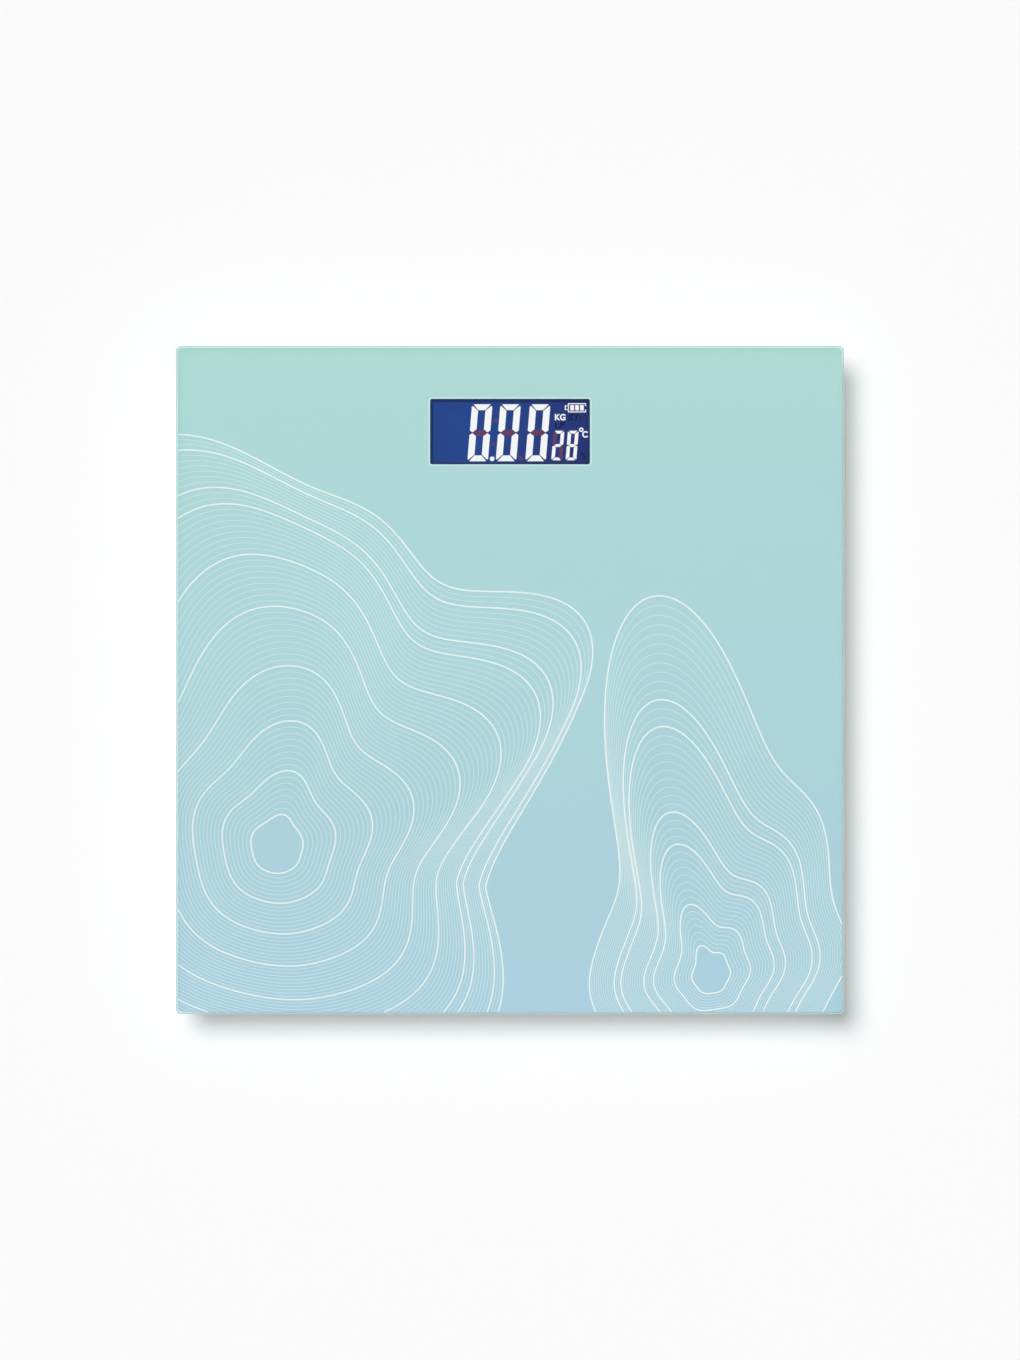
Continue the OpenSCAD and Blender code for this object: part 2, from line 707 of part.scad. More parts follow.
// Stamped steel half-bridge load cell: outer frame, folded beams and the inner tongue.
module load_cell() {
    outer_slot = cell_w - 2 * cell_frame - 2 * cell_slot;
    color([0.72, 0.73, 0.75])
        translate([0, 0, z_cell]) linear_extrude(cell_t) difference() {
            rounded_rect(cell_w, cell_w, cell_corner_r);
            u_slot(outer_slot, -1);
            u_slot(tongue_w, 1);
        }
}

// Clamp ring that holds the frame of the load cell against its seat.
module cell_clamp() {
    color([0.88, 0.88, 0.86])
        translate([0, 0, z_clamp]) difference() {
            cylinder(r = clamp_r, h = clamp_t);
            translate([0, 0, -past]) cylinder(r = clamp_hole_r, h = clamp_t + 2 * past);
            for (side = [-1, 1]) translate([0, side * cell_boss_y, -past])
                cylinder(r = screw_r + 0.2, h = clamp_t + 2 * past);
        }
}

// Screws of the clamp rings.
module cell_screws() {
    color([0.75, 0.75, 0.77])
        at_corners() for (side = [-1, 1])
            translate([0, side * cell_boss_y, 0]) screw(z_clamp, 1);
}

// Foil strain gauges on the bending beams.
module strain_gauges() {
    color([0.8, 0.62, 0.3])
        at_corners() for (side = [-1, 1])
            block(0, side * (tongue_w / 2 + cell_slot + cell_beam / 2), z_cell_top, 6, cell_beam - 0.4, 0.1);
}

// Silicone that seals the solder joints of the gauges.
module gauge_sealant() {
    color([0.96, 0.96, 0.95])
        at_corners() translate([sealant_x, 0, z_cell_top]) intersection() {
            cylinder(r = 2.6, h = sealant_h);
            translate([0, 0, sealant_h - 5]) sphere(5);
        }
}

// The three leads of one load cell.
module cell_leads(c) {
    path = bent(cell_route(c));
    color([0.75, 0.2, 0.18]) wire(path, lead_r);
    color([0.93, 0.93, 0.93]) wire(beside(path, lead_pitch), lead_r);
    color([0.15, 0.15, 0.16]) wire(beside(path, -lead_pitch), lead_r);
}

// ---- display ----

// Foam frame between the bezel and the film.
module window_gasket() {
    color([0.2, 0.2, 0.22]) translate([0, window_y, 0])
        frame_plate(bezel_open_w + 2 * gasket_w, bezel_open_d + 2 * gasket_w, window_corner_r + gasket_w,
                    bezel_open_w, bezel_open_d, window_corner_r, z_gasket, gasket_t);
}

// Bezel that boxes in the panel and the light guide, standing on the board.
module lcd_bezel() {
    color([0.25, 0.26, 0.28]) translate([0, window_y, 0]) difference() {
        rounded_plate(bezel_w, bezel_d, 1, z_board_top, z_gasket - z_board_top);
        block(0, 0, z_board_top - past, panel_w + 2 * seat_gap, panel_d + 2 * seat_gap,
              z_panel_top - z_board_top + past);
        rounded_plate(bezel_open_w, bezel_open_d, window_corner_r, z_panel_top - past, lip_t + 2 * past);
    }
}

// Polariser on the front of the panel.
module lcd_polariser() {
    color([0.2, 0.3, 0.62]) translate([0, window_y, 0])
        rounded_plate(bezel_open_w - 2 * seat_gap, bezel_open_d - 2 * seat_gap, window_corner_r,
                      z_panel_top, polariser_t);
}

// Liquid crystal panel: a full-size front glass over a back glass that leaves the contact ledges bare.
module lcd_panel() {
    color([0.16, 0.27, 0.53]) translate([0, window_y, 0]) {
        block(0, 0, z_panel + panel_t / 2, panel_w, panel_d, panel_t / 2);
        block(0, 0, z_panel, panel_w, panel_d - 2 * ledge_d, panel_t / 2);
    }
}

// Clear light guide behind the panel.
module light_guide() {
    color([0.85, 0.9, 1]) block(0, window_y, z_guide, guide_w, guide_d, guide_t);
}

// White sheet under the light guide.
module light_reflector() {
    color([0.97, 0.97, 0.97]) block(0, window_y, z_board_top, guide_w, guide_d, reflector_t);
}

// Backlight lamps that shine into the two ends of the light guide.
module backlight_lamps() {
    color([1, 1, 0.9]) for (end = [-1, 1], row = [-1, 1])
        block(end * (guide_w / 2 + lamp_w / 2), window_y + row * guide_d / 4, z_board_top,
              lamp_w, 3.5, guide_t);
}

// Elastomer strips that join the board to the ledges of the panel.
module contact_strips() {
    color([0.3, 0.3, 0.32]) for (side = [-1, 1])
        block(0, window_y + side * (panel_d / 2 - ledge_d / 2), z_board_top,
              panel_w - 2 * strip_inset, ledge_d - 2 * seat_gap, z_panel + panel_t / 2 - z_board_top);
}

// ---- electronics ----

// Circuit board with its screw holes.
module circuit_board() {
    color([0.1, 0.42, 0.24]) difference() {
        translate([0, board_y, 0]) rounded_plate(board_w, board_d, 1.5, z_board, board_t);
        for (sx = [-1, 1], sy = [-1, 1])
            translate([sx * board_screw_x, board_y + sy * board_screw_y, z_board - past])
                cylinder(r = screw_r + 0.2, h = board_t + 2 * past);
    }
}

// Screws that hold the board on its bosses.
module board_screws() {
    color([0.75, 0.75, 0.77]) for (sx = [-1, 1], sy = [-1, 1])
        translate([sx * board_screw_x, board_y + sy * board_screw_y, 0]) screw(z_board_top, -1);
}

// Amplifier chip for the load cells: a body with a row of legs on each side.
module amplifier_chip() {
    body_w = 10;
    body_d = 3.9;
    leg_pitch = 1.27;
    translate([-0.08 * board_w, board_y - 0.4 * board_d, z_board_top]) {
        color([0.12, 0.12, 0.13]) block(0, 0, 0.1, body_w, body_d, 1.5);
        color([0.8, 0.8, 0.82]) for (i = [-3.5 : 3.5], side = [-1, 1])
            block(i * leg_pitch, side * (body_d / 2 + 0.45), 0, 0.4, 1, 0.35);
    }
}

// Drop of black resin over the processor, on the underside of the board.
module processor_blob() {
    color([0.08, 0.08, 0.09]) translate([0, board_y, z_board]) mirror([0, 0, 1]) intersection() {
        cylinder(r = 7, h = 1.6);
        translate([0, 0, 1.6 - 18]) sphere(18, $fn = 240);
    }
}

// Two round capacitors beside the amplifier.
module smoothing_capacitors() {
    color([0.2, 0.25, 0.5]) for (i = [0, 1])
        translate([0.08 * board_w + 6 * i, board_y - 0.4 * board_d, z_board_top]) cylinder(r = 2, h = 4);
}

// Bead thermistor for the room temperature, at the rear edge of the board.
module room_thermistor() {
    color([0.1, 0.1, 0.1]) translate([0.26 * board_w, board_y - 0.43 * board_d, z_board_top + bead_r]) sphere(bead_r);
}

// ---- unit button ----

// Switch body under the board, bored for its plunger.
module unit_switch() {
    color([0.15, 0.15, 0.16]) difference() {
        block(unit_x, unit_y, z_switch, switch_w, switch_w, switch_h);
        translate([unit_x, unit_y, z_switch - past])
            cylinder(r = plunger_r + plunger_bore, h = past + button_travel + 1.2);
    }
}

// Plunger of the switch.
module switch_plunger() {
    color([0.92, 0.88, 0.8]) translate([unit_x, unit_y, z_plunger])
        cylinder(r = plunger_r, h = z_switch - z_plunger + 1);
}

// Button cap with a flange that rests on the tray's floor and a finger dish in its face.
module unit_button() {
    color([0.55, 0.58, 0.6]) translate([unit_x, unit_y, 0]) difference() {
        union() {
            translate([0, 0, ground_gap + button_recess])
                cylinder(r = button_r, h = z_plunger - ground_gap - button_recess);
            translate([0, 0, z_deck + 0.05])
                cylinder(r = button_r + button_flange_w, h = button_flange_t);
        }
        translate([0, 0, ground_gap + button_recess - 14.6]) sphere(15);
    }
}

// ---- battery power ----

// An AAA cell along X about its own row, with its nub towards end (1 or -1).
module battery(end) {
    body_len = battery_len - nub_len;
    translate([end * (cavity_w / 2 - contact_t), compartment_y + end * battery_pitch / 2, z_battery])
        rotate([0, -90 * end, 0]) {
            color([0.83, 0.68, 0.32]) {
                cylinder(r = nub_r, h = nub_len + root);
                translate([0, 0, nub_len]) cylinder(r = battery_r - 0.4, h = body_len);
            }
            color([0.16, 0.2, 0.3]) translate([0, 0, nub_len + 0.4])
                cylinder(r = battery_r, h = body_len - 0.8);
        }
}

// A contact spring: a helix that is squeezed between its plate and the cell's flat end.
module contact_spring(end) {
    free = cavity_w / 2 - contact_t - spring_wire_r;
    travel = spring_len - 2 * spring_wire_r;
    steps = 16;
    turns = spring_turns * steps;
    r = spring_r;
    helix = [for (i = [0 : turns])
        [r * cos(360 * i / steps), r * sin(360 * i / steps), travel * i / turns]];
    translate([end * free, compartment_y - end * battery_pitch / 2, z_battery])
        rotate([0, -90 * end, 0]) wire(helix, spring_wire_r);
}

module contact_springs() {
    color([0.82, 0.83, 0.85]) for (end = [-1, 1]) contact_spring(end);
}

// A contact plate against the compartment's end wall, w wide about y.
module contact_plate(end, y, w) {
    block(end * (cavity_w / 2 - contact_t / 2), y, z_battery - contact_w / 2, contact_t, w, contact_w);
}

// The tail by which a contact's lead is soldered, out through the end wall.
module contact_tail(y) {
    reach = compartment_wall + tail_len;
    block(-cavity_w / 2 - reach / 2, y, z_battery - contact_t / 2, reach, tail_w, contact_t);
}

// Plate that joins the two cells in series.
module bridge_contact() {
    color([0.8, 0.81, 0.83]) contact_plate(1, compartment_y, battery_pitch + contact_w);
}

// Plate under the nub of the rear cell.
module positive_contact() {
    color([0.8, 0.81, 0.83]) {
        contact_plate(-1, compartment_y - battery_pitch / 2, contact_w);
        contact_tail(compartment_y - battery_pitch / 2);
    }
}

// Plate behind the spring of the front cell.
module negative_contact() {
    color([0.8, 0.81, 0.83]) {
        contact_plate(-1, compartment_y + battery_pitch / 2, contact_w);
        contact_tail(compartment_y + battery_pitch / 2);
    }
}

function battery_lead_route(end) =
    battery_route(compartment_y + end * battery_pitch / 2, lead_bend * (end > 0 ? 0.5 : 0.875),
                  board_w * (end > 0 ? -0.28 : -0.32));

// Leads from the two contacts to the board.
module battery_leads() {
    color([0.15, 0.15, 0.16]) wire(bent(battery_lead_route(1)), lead_r);
    color([0.75, 0.2, 0.18]) wire(bent(battery_lead_route(-1)), lead_r);
}

// Battery door: plate, two knuckles with pins, and a latch tongue freed by two slots.
module battery_door() {
    tongue = 12;
    slot = 1;
    slot_len = 9;
    color([0.92, 0.92, 0.9]) {
        difference() {
            block(0, (door_rear + door_front) / 2, ground_gap, door_w, door_front - door_rear, door_t);
            for (side = [-1, 1])
                block(side * (tongue + slot) / 2, door_front - slot_len / 2 + past, ground_gap - past,
                      slot, slot_len + 2 * past, door_t + 2 * past);
            for (i = [-2 : 2])
                block(0, door_front - 3 + i * 1.2 - slot_len / 3, ground_gap - past, tongue - 2, 0.6, past + 0.4);
        }
        for (side = [-1, 1]) translate([side * knuckle_pitch / 2, 0, 0]) {
            translate([0, hinge_y, hinge_z]) rotate([0, 90, 0]) {
                cylinder(r = knuckle_r, h = knuckle_w, center = true);
                cylinder(r = pin_r, h = knuckle_w + 2 * pin_len, center = true);
            }
            block(0, (hinge_y + door_rear + root) / 2, hinge_z - knuckle_r, knuckle_w,
                  door_rear - hinge_y + root, z_door_top - hinge_z + knuckle_r);
        }
    }
}

// Foam strip on the inside of the door that keeps the cells from rattling.
module door_foam() {
    color([0.3, 0.3, 0.32])
        block(0, compartment_y, z_door_top, cavity_w - 8, cavity_d - 4, door_foam_t);
}

// ---- nodes ----

glass_platform();
printed_film();
bonding_tape();
base_tray();
for (c = CORNERS) {
    at_corner(c) foot_pad();
    at_corner(c) foot_cup();
    at_corner(c) load_cell();
    at_corner(c) cell_clamp();
    cell_leads(c);
}
strain_gauges();
gauge_sealant();
cell_screws();
window_gasket();
lcd_bezel();
lcd_polariser();
lcd_panel();
light_guide();
light_reflector();
backlight_lamps();
contact_strips();
circuit_board();
board_screws();
amplifier_chip();
processor_blob();
smoothing_capacitors();
room_thermistor();
unit_switch();
switch_plunger();
unit_button();
battery(1);  // battery_front
battery(-1);  // battery_rear
contact_springs();
bridge_contact();
positive_contact();
negative_contact();
battery_leads();
battery_door();
door_foam();
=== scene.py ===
import bmesh
import bpy
import math
import numpy as np
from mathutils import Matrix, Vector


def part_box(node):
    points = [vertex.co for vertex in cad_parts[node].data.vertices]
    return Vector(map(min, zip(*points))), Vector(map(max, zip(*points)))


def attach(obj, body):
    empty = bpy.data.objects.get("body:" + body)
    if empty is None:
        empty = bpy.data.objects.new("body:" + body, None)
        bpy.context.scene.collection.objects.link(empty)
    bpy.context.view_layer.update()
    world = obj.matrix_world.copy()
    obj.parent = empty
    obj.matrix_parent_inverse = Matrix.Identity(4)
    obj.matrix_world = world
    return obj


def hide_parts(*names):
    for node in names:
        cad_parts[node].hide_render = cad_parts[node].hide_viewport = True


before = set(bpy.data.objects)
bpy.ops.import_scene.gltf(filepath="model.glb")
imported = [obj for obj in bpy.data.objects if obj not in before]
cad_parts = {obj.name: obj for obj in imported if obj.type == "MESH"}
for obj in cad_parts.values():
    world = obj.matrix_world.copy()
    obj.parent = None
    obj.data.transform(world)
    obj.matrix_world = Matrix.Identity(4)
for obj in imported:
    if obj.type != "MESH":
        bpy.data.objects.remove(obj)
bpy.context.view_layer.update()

# ---- Camera ----
# It looks straight down on the platform from 4 m, with a long lens, so that no side of the scale shows.
# The view is 570 mm high at the height of the glass.
VIEW_DISTANCE, VIEW_HEIGHT = 4, 0.570
glass_low, glass_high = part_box("glass_platform")
camera = bpy.data.objects.new("camera", bpy.data.cameras.new("camera"))
camera.location = (0, 0, glass_high.z + VIEW_DISTANCE)
camera.data.lens = camera.data.sensor_width * VIEW_DISTANCE / VIEW_HEIGHT
camera.data.clip_start = 0.05
bpy.context.scene.collection.objects.link(camera)
bpy.context.scene.camera = camera

# ---- Floor, black card and lamps ----
# White seamless paper, a wide lamp at the upper left and a weak one across from it. A black card hangs
# over the camera, so that the glass doesn't mirror the white room. The paper can't be seen from below
# and stops no lamp, so that the third lamp lights the underside when the scale is looked at from there.


def srgb(code):
    """The linear colour of an sRGB hex code."""
    parts = [int(code[i:i + 2], 16) / 255 for i in (1, 3, 5)]
    return tuple(p / 12.92 if p <= 0.04045 else ((p + 0.055) / 1.055) ** 2.4 for p in parts) + (1.0,)


def add(tree, kind, inputs=None, **settings):
    """Adds a node with its settings. Each input gets a number, or a link from another node's output."""
    node = tree.nodes.new(kind)
    for name, value in settings.items():
        setattr(node, name, value)
    for socket, value in (inputs or {}).items():
        if isinstance(value, bpy.types.NodeSocket):
            tree.links.new(value, node.inputs[socket])
        else:
            node.inputs[socket].default_value = value
    return node


def new_material(name):
    """An empty material: its node tree, and the shader socket of its output."""
    material = bpy.data.materials.new(name)
    material.use_nodes = True
    material.node_tree.nodes.clear()
    output = add(material.node_tree, "ShaderNodeOutputMaterial")
    return material, material.node_tree, output.inputs["Surface"]


def seen_ray(tree):
    """1 for rays by which the eye sees a thing, straight, in a mirror or through glass."""
    light_path = add(tree, "ShaderNodeLightPath")
    either = add(tree, "ShaderNodeMath", {0: light_path.outputs["Is Camera Ray"],
                                          1: light_path.outputs["Is Glossy Ray"]}, operation="MAXIMUM")
    return add(tree, "ShaderNodeMath", {0: either.outputs[0],
                                        1: light_path.outputs["Is Transmission Ray"]},
               operation="MAXIMUM").outputs[0]


paper, tree, surface = new_material("seamless_paper")
matt = add(tree, "ShaderNodeBsdfDiffuse", {"Color": (0.945, 0.945, 0.945, 1)})
glow = add(tree, "ShaderNodeEmission", {"Color": (1, 1, 1, 1), "Strength": 0.02})
dark = add(tree, "ShaderNodeEmission", {"Strength": 0.0})
shown = add(tree, "ShaderNodeMixShader", {0: seen_ray(tree), 1: dark.outputs[0], 2: glow.outputs[0]})
front = add(tree, "ShaderNodeAddShader", {0: matt.outputs[0], 1: shown.outputs[0]})
behind = add(tree, "ShaderNodeBsdfTransparent")
side = add(tree, "ShaderNodeNewGeometry")
both = add(tree, "ShaderNodeMixShader", {0: side.outputs["Backfacing"], 1: front.outputs[0],
                                         2: behind.outputs[0]})
tree.links.new(both.outputs[0], surface)

card, tree, surface = new_material("black_card")
velvet = add(tree, "ShaderNodeBsdfDiffuse", {"Color": (0.01, 0.01, 0.01, 1)})
tree.links.new(velvet.outputs[0], surface)

FLOOR_HALF, CARD_HALF = 3, 0.48
CARD_HEIGHT = camera.location.z + 0.3
for name, half, height, material in (("floor", FLOOR_HALF, 0, paper),
                                     ("card", CARD_HALF, CARD_HEIGHT, card)):
    sheet = bpy.data.meshes.new(name)
    sheet.from_pydata([(-half, -half, height), (half, -half, height), (half, half, height),
                       (-half, half, height)], [], [(0, 1, 2, 3)])
    sheet.materials.append(material)
    stage_piece = bpy.data.objects.new(name, sheet)
    bpy.context.scene.collection.objects.link(stage_piece)
    stage_piece.visible_shadow = False

world = bpy.data.worlds.new("studio")
world.use_nodes = True
tree = world.node_tree
tree.nodes.clear()
room = add(tree, "ShaderNodeBackground", {"Color": (1, 1, 1, 1), "Strength": 0.23})
white = add(tree, "ShaderNodeBackground", {"Color": (1, 1, 1, 1), "Strength": 1.0})
sky = add(tree, "ShaderNodeMixShader", {0: seen_ray(tree), 1: room.outputs[0], 2: white.outputs[0]})
tree.links.new(sky.outputs[0], add(tree, "ShaderNodeOutputWorld").inputs["Surface"])
bpy.context.scene.world = world

# Lamps: (name, brightness of a white sheet that faces it, width in degrees, tilt in degrees about X and Y)
LAMPS = (("window_lamp", 0.75, 34, (-20, -18)),
         ("fill_lamp", 0.11, 34, (14, 14)),
         ("under_lamp", 0.3, 60, (160, 20)))
for name, light, width, tilt in LAMPS:
    lamp = bpy.data.objects.new(name, bpy.data.lights.new(name, "SUN"))
    lamp.data.energy = light * math.pi
    lamp.data.angle = math.radians(width)
    lamp.rotation_euler = (math.radians(tilt[0]), math.radians(tilt[1]), 0)
    bpy.context.scene.collection.objects.link(lamp)
bpy.context.scene.view_settings.view_transform = "Standard"

# ---- Glass platform ----
# A 5 mm sheet of tempered soda-lime glass. Its faces are float-smooth; its edges are ground with a
# fine wheel, which leaves a pale green frosted band. It replaces the CAD sheet at the same size.
EDGE_CHAMFER = 0.0004
CORNER_RADIUS = 0.002


def mesh_object(name, vertices, faces, materials, face_material=None, body="scale"):
    """A mesh piece whose place is in its mesh, riding on a CAD body."""
    mesh = bpy.data.meshes.new(name)
    mesh.from_pydata([tuple(v) for v in vertices], [], faces)
    for material in materials:
        mesh.materials.append(material)
    if face_material is not None:
        mesh.polygons.foreach_set("material_index", face_material)
    mesh.validate()
    mesh.update()
    piece = bpy.data.objects.new(name, mesh)
    bpy.context.scene.collection.objects.link(piece)
    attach(piece, body)
    return piece


def rounded_outline(half_w, half_d, radius, steps=8):
    """Points round a rectangle about the origin with round corners, counter-clockwise."""
    points = []
    for corner, (sx, sy) in enumerate(((1, 1), (-1, 1), (-1, -1), (1, -1))):
        for step in range(steps + 1):
            angle = math.radians(90 * (corner + step / steps))
            points.append((sx * (half_w - radius) + radius * math.cos(angle),
                           sy * (half_d - radius) + radius * math.sin(angle)))
    return points


def lighting_ray(tree):
    """1 for rays that carry light on to what lies behind the glass."""
    light_path = add(tree, "ShaderNodeLightPath")
    return add(tree, "ShaderNodeMath", {0: light_path.outputs["Is Shadow Ray"],
                                        1: light_path.outputs["Is Diffuse Ray"]},
               operation="MAXIMUM").outputs[0]


def blend(tree, share, first, second):
    """A colour between two others, by a share from 0 to 1. The numbers are the mix node's colour sockets."""
    return add(tree, "ShaderNodeMix", {0: share, 6: first, 7: second}, data_type="RGBA").outputs[2]


clear_glass, tree, surface = new_material("float_glass")
glass = add(tree, "ShaderNodeBsdfPrincipled", {"Base Color": srgb("#FCFEFD"), "Roughness": 0.0,
                                               "IOR": 1.52, "Transmission Weight": 1.0})
lamp_way = add(tree, "ShaderNodeBsdfTransparent", {"Color": srgb("#FCFEFD")})
pane = add(tree, "ShaderNodeMixShader", {0: lighting_ray(tree), 1: glass.outputs[0],
                                         2: lamp_way.outputs[0]})
tree.links.new(pane.outputs[0], surface)

# Ground edge: pale green frosted glass. The wheel's marks, 0.15 mm apart, run along the edge.
ground_glass, tree, surface = new_material("ground_glass_edge")
place = add(tree, "ShaderNodeTexCoord")
marks = add(tree, "ShaderNodeMapping", {"Vector": place.outputs["Object"], "Scale": (40, 40, 6600)})
wheel = add(tree, "ShaderNodeTexNoise", {"Vector": marks.outputs[0], "Scale": 1.0, "Detail": 3.0})
tone = blend(tree, wheel.outputs["Fac"], srgb("#A9D6CB"), srgb("#CDE9E2"))
grind = add(tree, "ShaderNodeBump", {"Height": wheel.outputs["Fac"], "Strength": 0.3, "Distance": 0.00003})
edge = add(tree, "ShaderNodeBsdfPrincipled", {"Base Color": tone, "Roughness": 0.42,
                                              "IOR": 1.52, "Transmission Weight": 0.35,
                                              "Normal": grind.outputs[0]})
light_way = add(tree, "ShaderNodeBsdfTransparent", {"Color": srgb("#E9F6F2")})
rim = add(tree, "ShaderNodeMixShader", {0: lighting_ray(tree), 1: edge.outputs[0],
                                        2: light_way.outputs[0]})
tree.links.new(rim.outputs[0], surface)

half_w, half_d = glass_high.x, glass_high.y
rings = [(EDGE_CHAMFER, glass_low.z), (0, glass_low.z + EDGE_CHAMFER),
         (0, glass_high.z - EDGE_CHAMFER), (EDGE_CHAMFER, glass_high.z)]
vertices = [(x, y, z) for inset, z in rings
            for x, y in rounded_outline(half_w - inset, half_d - inset, CORNER_RADIUS - inset)]
count, bands = len(vertices) // len(rings), len(rings) - 1
faces = [(r * count + i, r * count + (i + 1) % count,
          (r + 1) * count + (i + 1) % count, (r + 1) * count + i)
         for r in range(bands) for i in range(count)]
faces += [tuple(reversed(range(count))), tuple(range(bands * count, len(vertices)))]
platform = mesh_object("glass_sheet", vertices, faces, [clear_glass, ground_glass],
                       [1] * (bands * count) + [0, 0])
platform.data.shade_smooth()
platform.data.set_sharp_from_angle(angle=math.radians(30))
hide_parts("glass_platform")

# ---- Printed film ----
# Polyester film, screen-printed on its front and stuck to the back of the glass. The ground colour
# fades from mint at the display edge to pale blue at the other.


def dress(nodes, material):
    """Gives a CAD node, or several, its material."""
    for name in nodes.split():
        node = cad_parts[name]
        node.data.materials.clear()
        node.data.materials.append(material)


def ramp(tree, share, stops):
    """A colour ramp over a share from 0 to 1. A stop is (position, hex code)."""
    node = add(tree, "ShaderNodeValToRGB", {"Fac": share})
    elements = node.color_ramp.elements
    while len(elements) < len(stops):
        elements.new(0.5)
    for element, (position, colour) in zip(elements, stops):
        element.position, element.color = position, srgb(colour)
    return node


film_low, film_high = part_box("printed_film")
film_print, tree, surface = new_material("screen_printed_film")
place = add(tree, "ShaderNodeTexCoord")
apart = add(tree, "ShaderNodeSeparateXYZ", {0: place.outputs["Object"]})
along = add(tree, "ShaderNodeMapRange", {"Value": apart.outputs["Y"], "From Min": film_low.y,
                                         "From Max": film_high.y})
fade = ramp(tree, along.outputs[0], ((0.0, "#B4D6EA"), (0.28, "#B4D7E4"), (0.55, "#B6DCE4"),
                                     (0.85, "#B6DEDF"), (1.0, "#B8E1DD")))
# The ink lies in a layer with a mottle of about 3 mm, too faint to see as more than depth.
mottle = add(tree, "ShaderNodeTexNoise", {"Vector": place.outputs["Object"], "Scale": 330.0, "Detail": 2.0})
ink_rough = add(tree, "ShaderNodeMapRange", {"Value": mottle.outputs["Fac"], "To Min": 0.42, "To Max": 0.5})
ink = add(tree, "ShaderNodeBsdfPrincipled", {"Base Color": fade.outputs[0],
                                             "Roughness": ink_rough.outputs[0],
                                             "Specular IOR Level": 0.2})
tree.links.new(ink.outputs[0], surface)
dress("printed_film", film_print)

# ---- Contour lines of the print, and rings round the display window ----
# A stock pattern of nested contour lines, screened over the ground colour in one fine and one bold
# weight, and a dark navy ring just inside the display window's edge with a pale halo outside it.
LINE_HEIGHT = film_high.z + 0.00002
# Later inks lie a little over the earlier ones.
BOLD_LIFT, BORDER_LIFT = 0.000004, 0.000006
FINE, BOLD = 0.00026, 0.0006
# The least distance between the middles of two lines of a family, in millimetres
CLEAR = 0.95


def screened(name, colour):
    """Ink of one colour, with the same 3 mm mottle as the ground."""
    material, tree, surface = new_material(name)
    place = add(tree, "ShaderNodeTexCoord")
    mottle = add(tree, "ShaderNodeTexNoise", {"Vector": place.outputs["Object"], "Scale": 330.0})
    darker = tuple(part * 0.97 for part in srgb(colour)[:3]) + (1,)
    shade = blend(tree, mottle.outputs["Fac"], srgb(colour), darker)
    ink = add(tree, "ShaderNodeBsdfPrincipled", {"Base Color": shade, "Roughness": 0.46,
                                                 "Specular IOR Level": 0.2})
    tree.links.new(ink.outputs[0], surface)
    return material


def ribbon_tree():
    """Geometry Nodes that turn drawn paths into flat ribbons of printed ink."""
    tree = bpy.data.node_groups.new("ink_ribbon", "GeometryNodeTree")
    tree.interface.new_socket("Geometry", in_out="INPUT", socket_type="NodeSocketGeometry")
    tree.interface.new_socket("Width", in_out="INPUT", socket_type="NodeSocketFloat")
    tree.interface.new_socket("Ink", in_out="INPUT", socket_type="NodeSocketMaterial")
    tree.interface.new_socket("Geometry", in_out="OUTPUT", socket_type="NodeSocketGeometry")
    given = add(tree, "NodeGroupInput")
    path = add(tree, "GeometryNodeMeshToCurve", {"Mesh": given.outputs["Geometry"]})
    level = add(tree, "GeometryNodeSetCurveNormal", {"Curve": path.outputs["Curve"]}, mode="Z_UP")
    half = add(tree, "ShaderNodeMath", {0: given.outputs["Width"], 1: 0.5}, operation="MULTIPLY")
    other = add(tree, "ShaderNodeMath", {0: given.outputs["Width"], 1: -0.5}, operation="MULTIPLY")
    left = add(tree, "ShaderNodeCombineXYZ", {"X": half.outputs[0]})
    right = add(tree, "ShaderNodeCombineXYZ", {"X": other.outputs[0]})
    bar = add(tree, "GeometryNodeCurvePrimitiveLine", {"Start": left.outputs[0], "End": right.outputs[0]})
    ribbon = add(tree, "GeometryNodeCurveToMesh", {"Curve": level.outputs[0],
                                                   "Profile Curve": bar.outputs[0]})
    real = add(tree, "GeometryNodeRealizeInstances", {"Geometry": ribbon.outputs[0]})
    inked = add(tree, "GeometryNodeSetMaterial", {"Geometry": real.outputs[0],
                                                  "Material": given.outputs["Ink"]})
    add(tree, "NodeGroupOutput", {"Geometry": inked.outputs[0]})
    return tree


def from_nodes(name, tree, start_mesh, inputs, body="scale"):
    """Runs a Geometry Nodes tree on a mesh, and keeps the result as a plain piece."""
    carrier = bpy.data.objects.new(name + "_carrier", start_mesh)
    bpy.context.scene.collection.objects.link(carrier)
    modifier = carrier.modifiers.new("nodes", "NODES")
    modifier.node_group = tree
    for socket in tree.interface.items_tree:
        if socket.in_out == "INPUT" and socket.name in inputs:
            modifier[socket.identifier] = inputs[socket.name]
    ready = carrier.evaluated_get(bpy.context.evaluated_depsgraph_get())
    mesh = bpy.data.meshes.new_from_object(ready)
    mesh.name = name
    bpy.data.objects.remove(carrier)
    piece = bpy.data.objects.new(name, mesh)
    bpy.context.scene.collection.objects.link(piece)
    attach(piece, body)
    return piece


def paths_mesh(name, paths, height):
    """A mesh of bare edges that follows each path. A path is (points, closed)."""
    vertices, edges = [], []
    for points, closed in paths:
        first, count = len(vertices), len(points)
        vertices += [(x, y, height) for x, y in points]
        edges += [(first + i, first + i + 1) for i in range(count - 1)]
        if closed:
            edges.append((first + count - 1, first))
    mesh = bpy.data.meshes.new(name)
    mesh.from_pydata(vertices, edges, [])
    return mesh


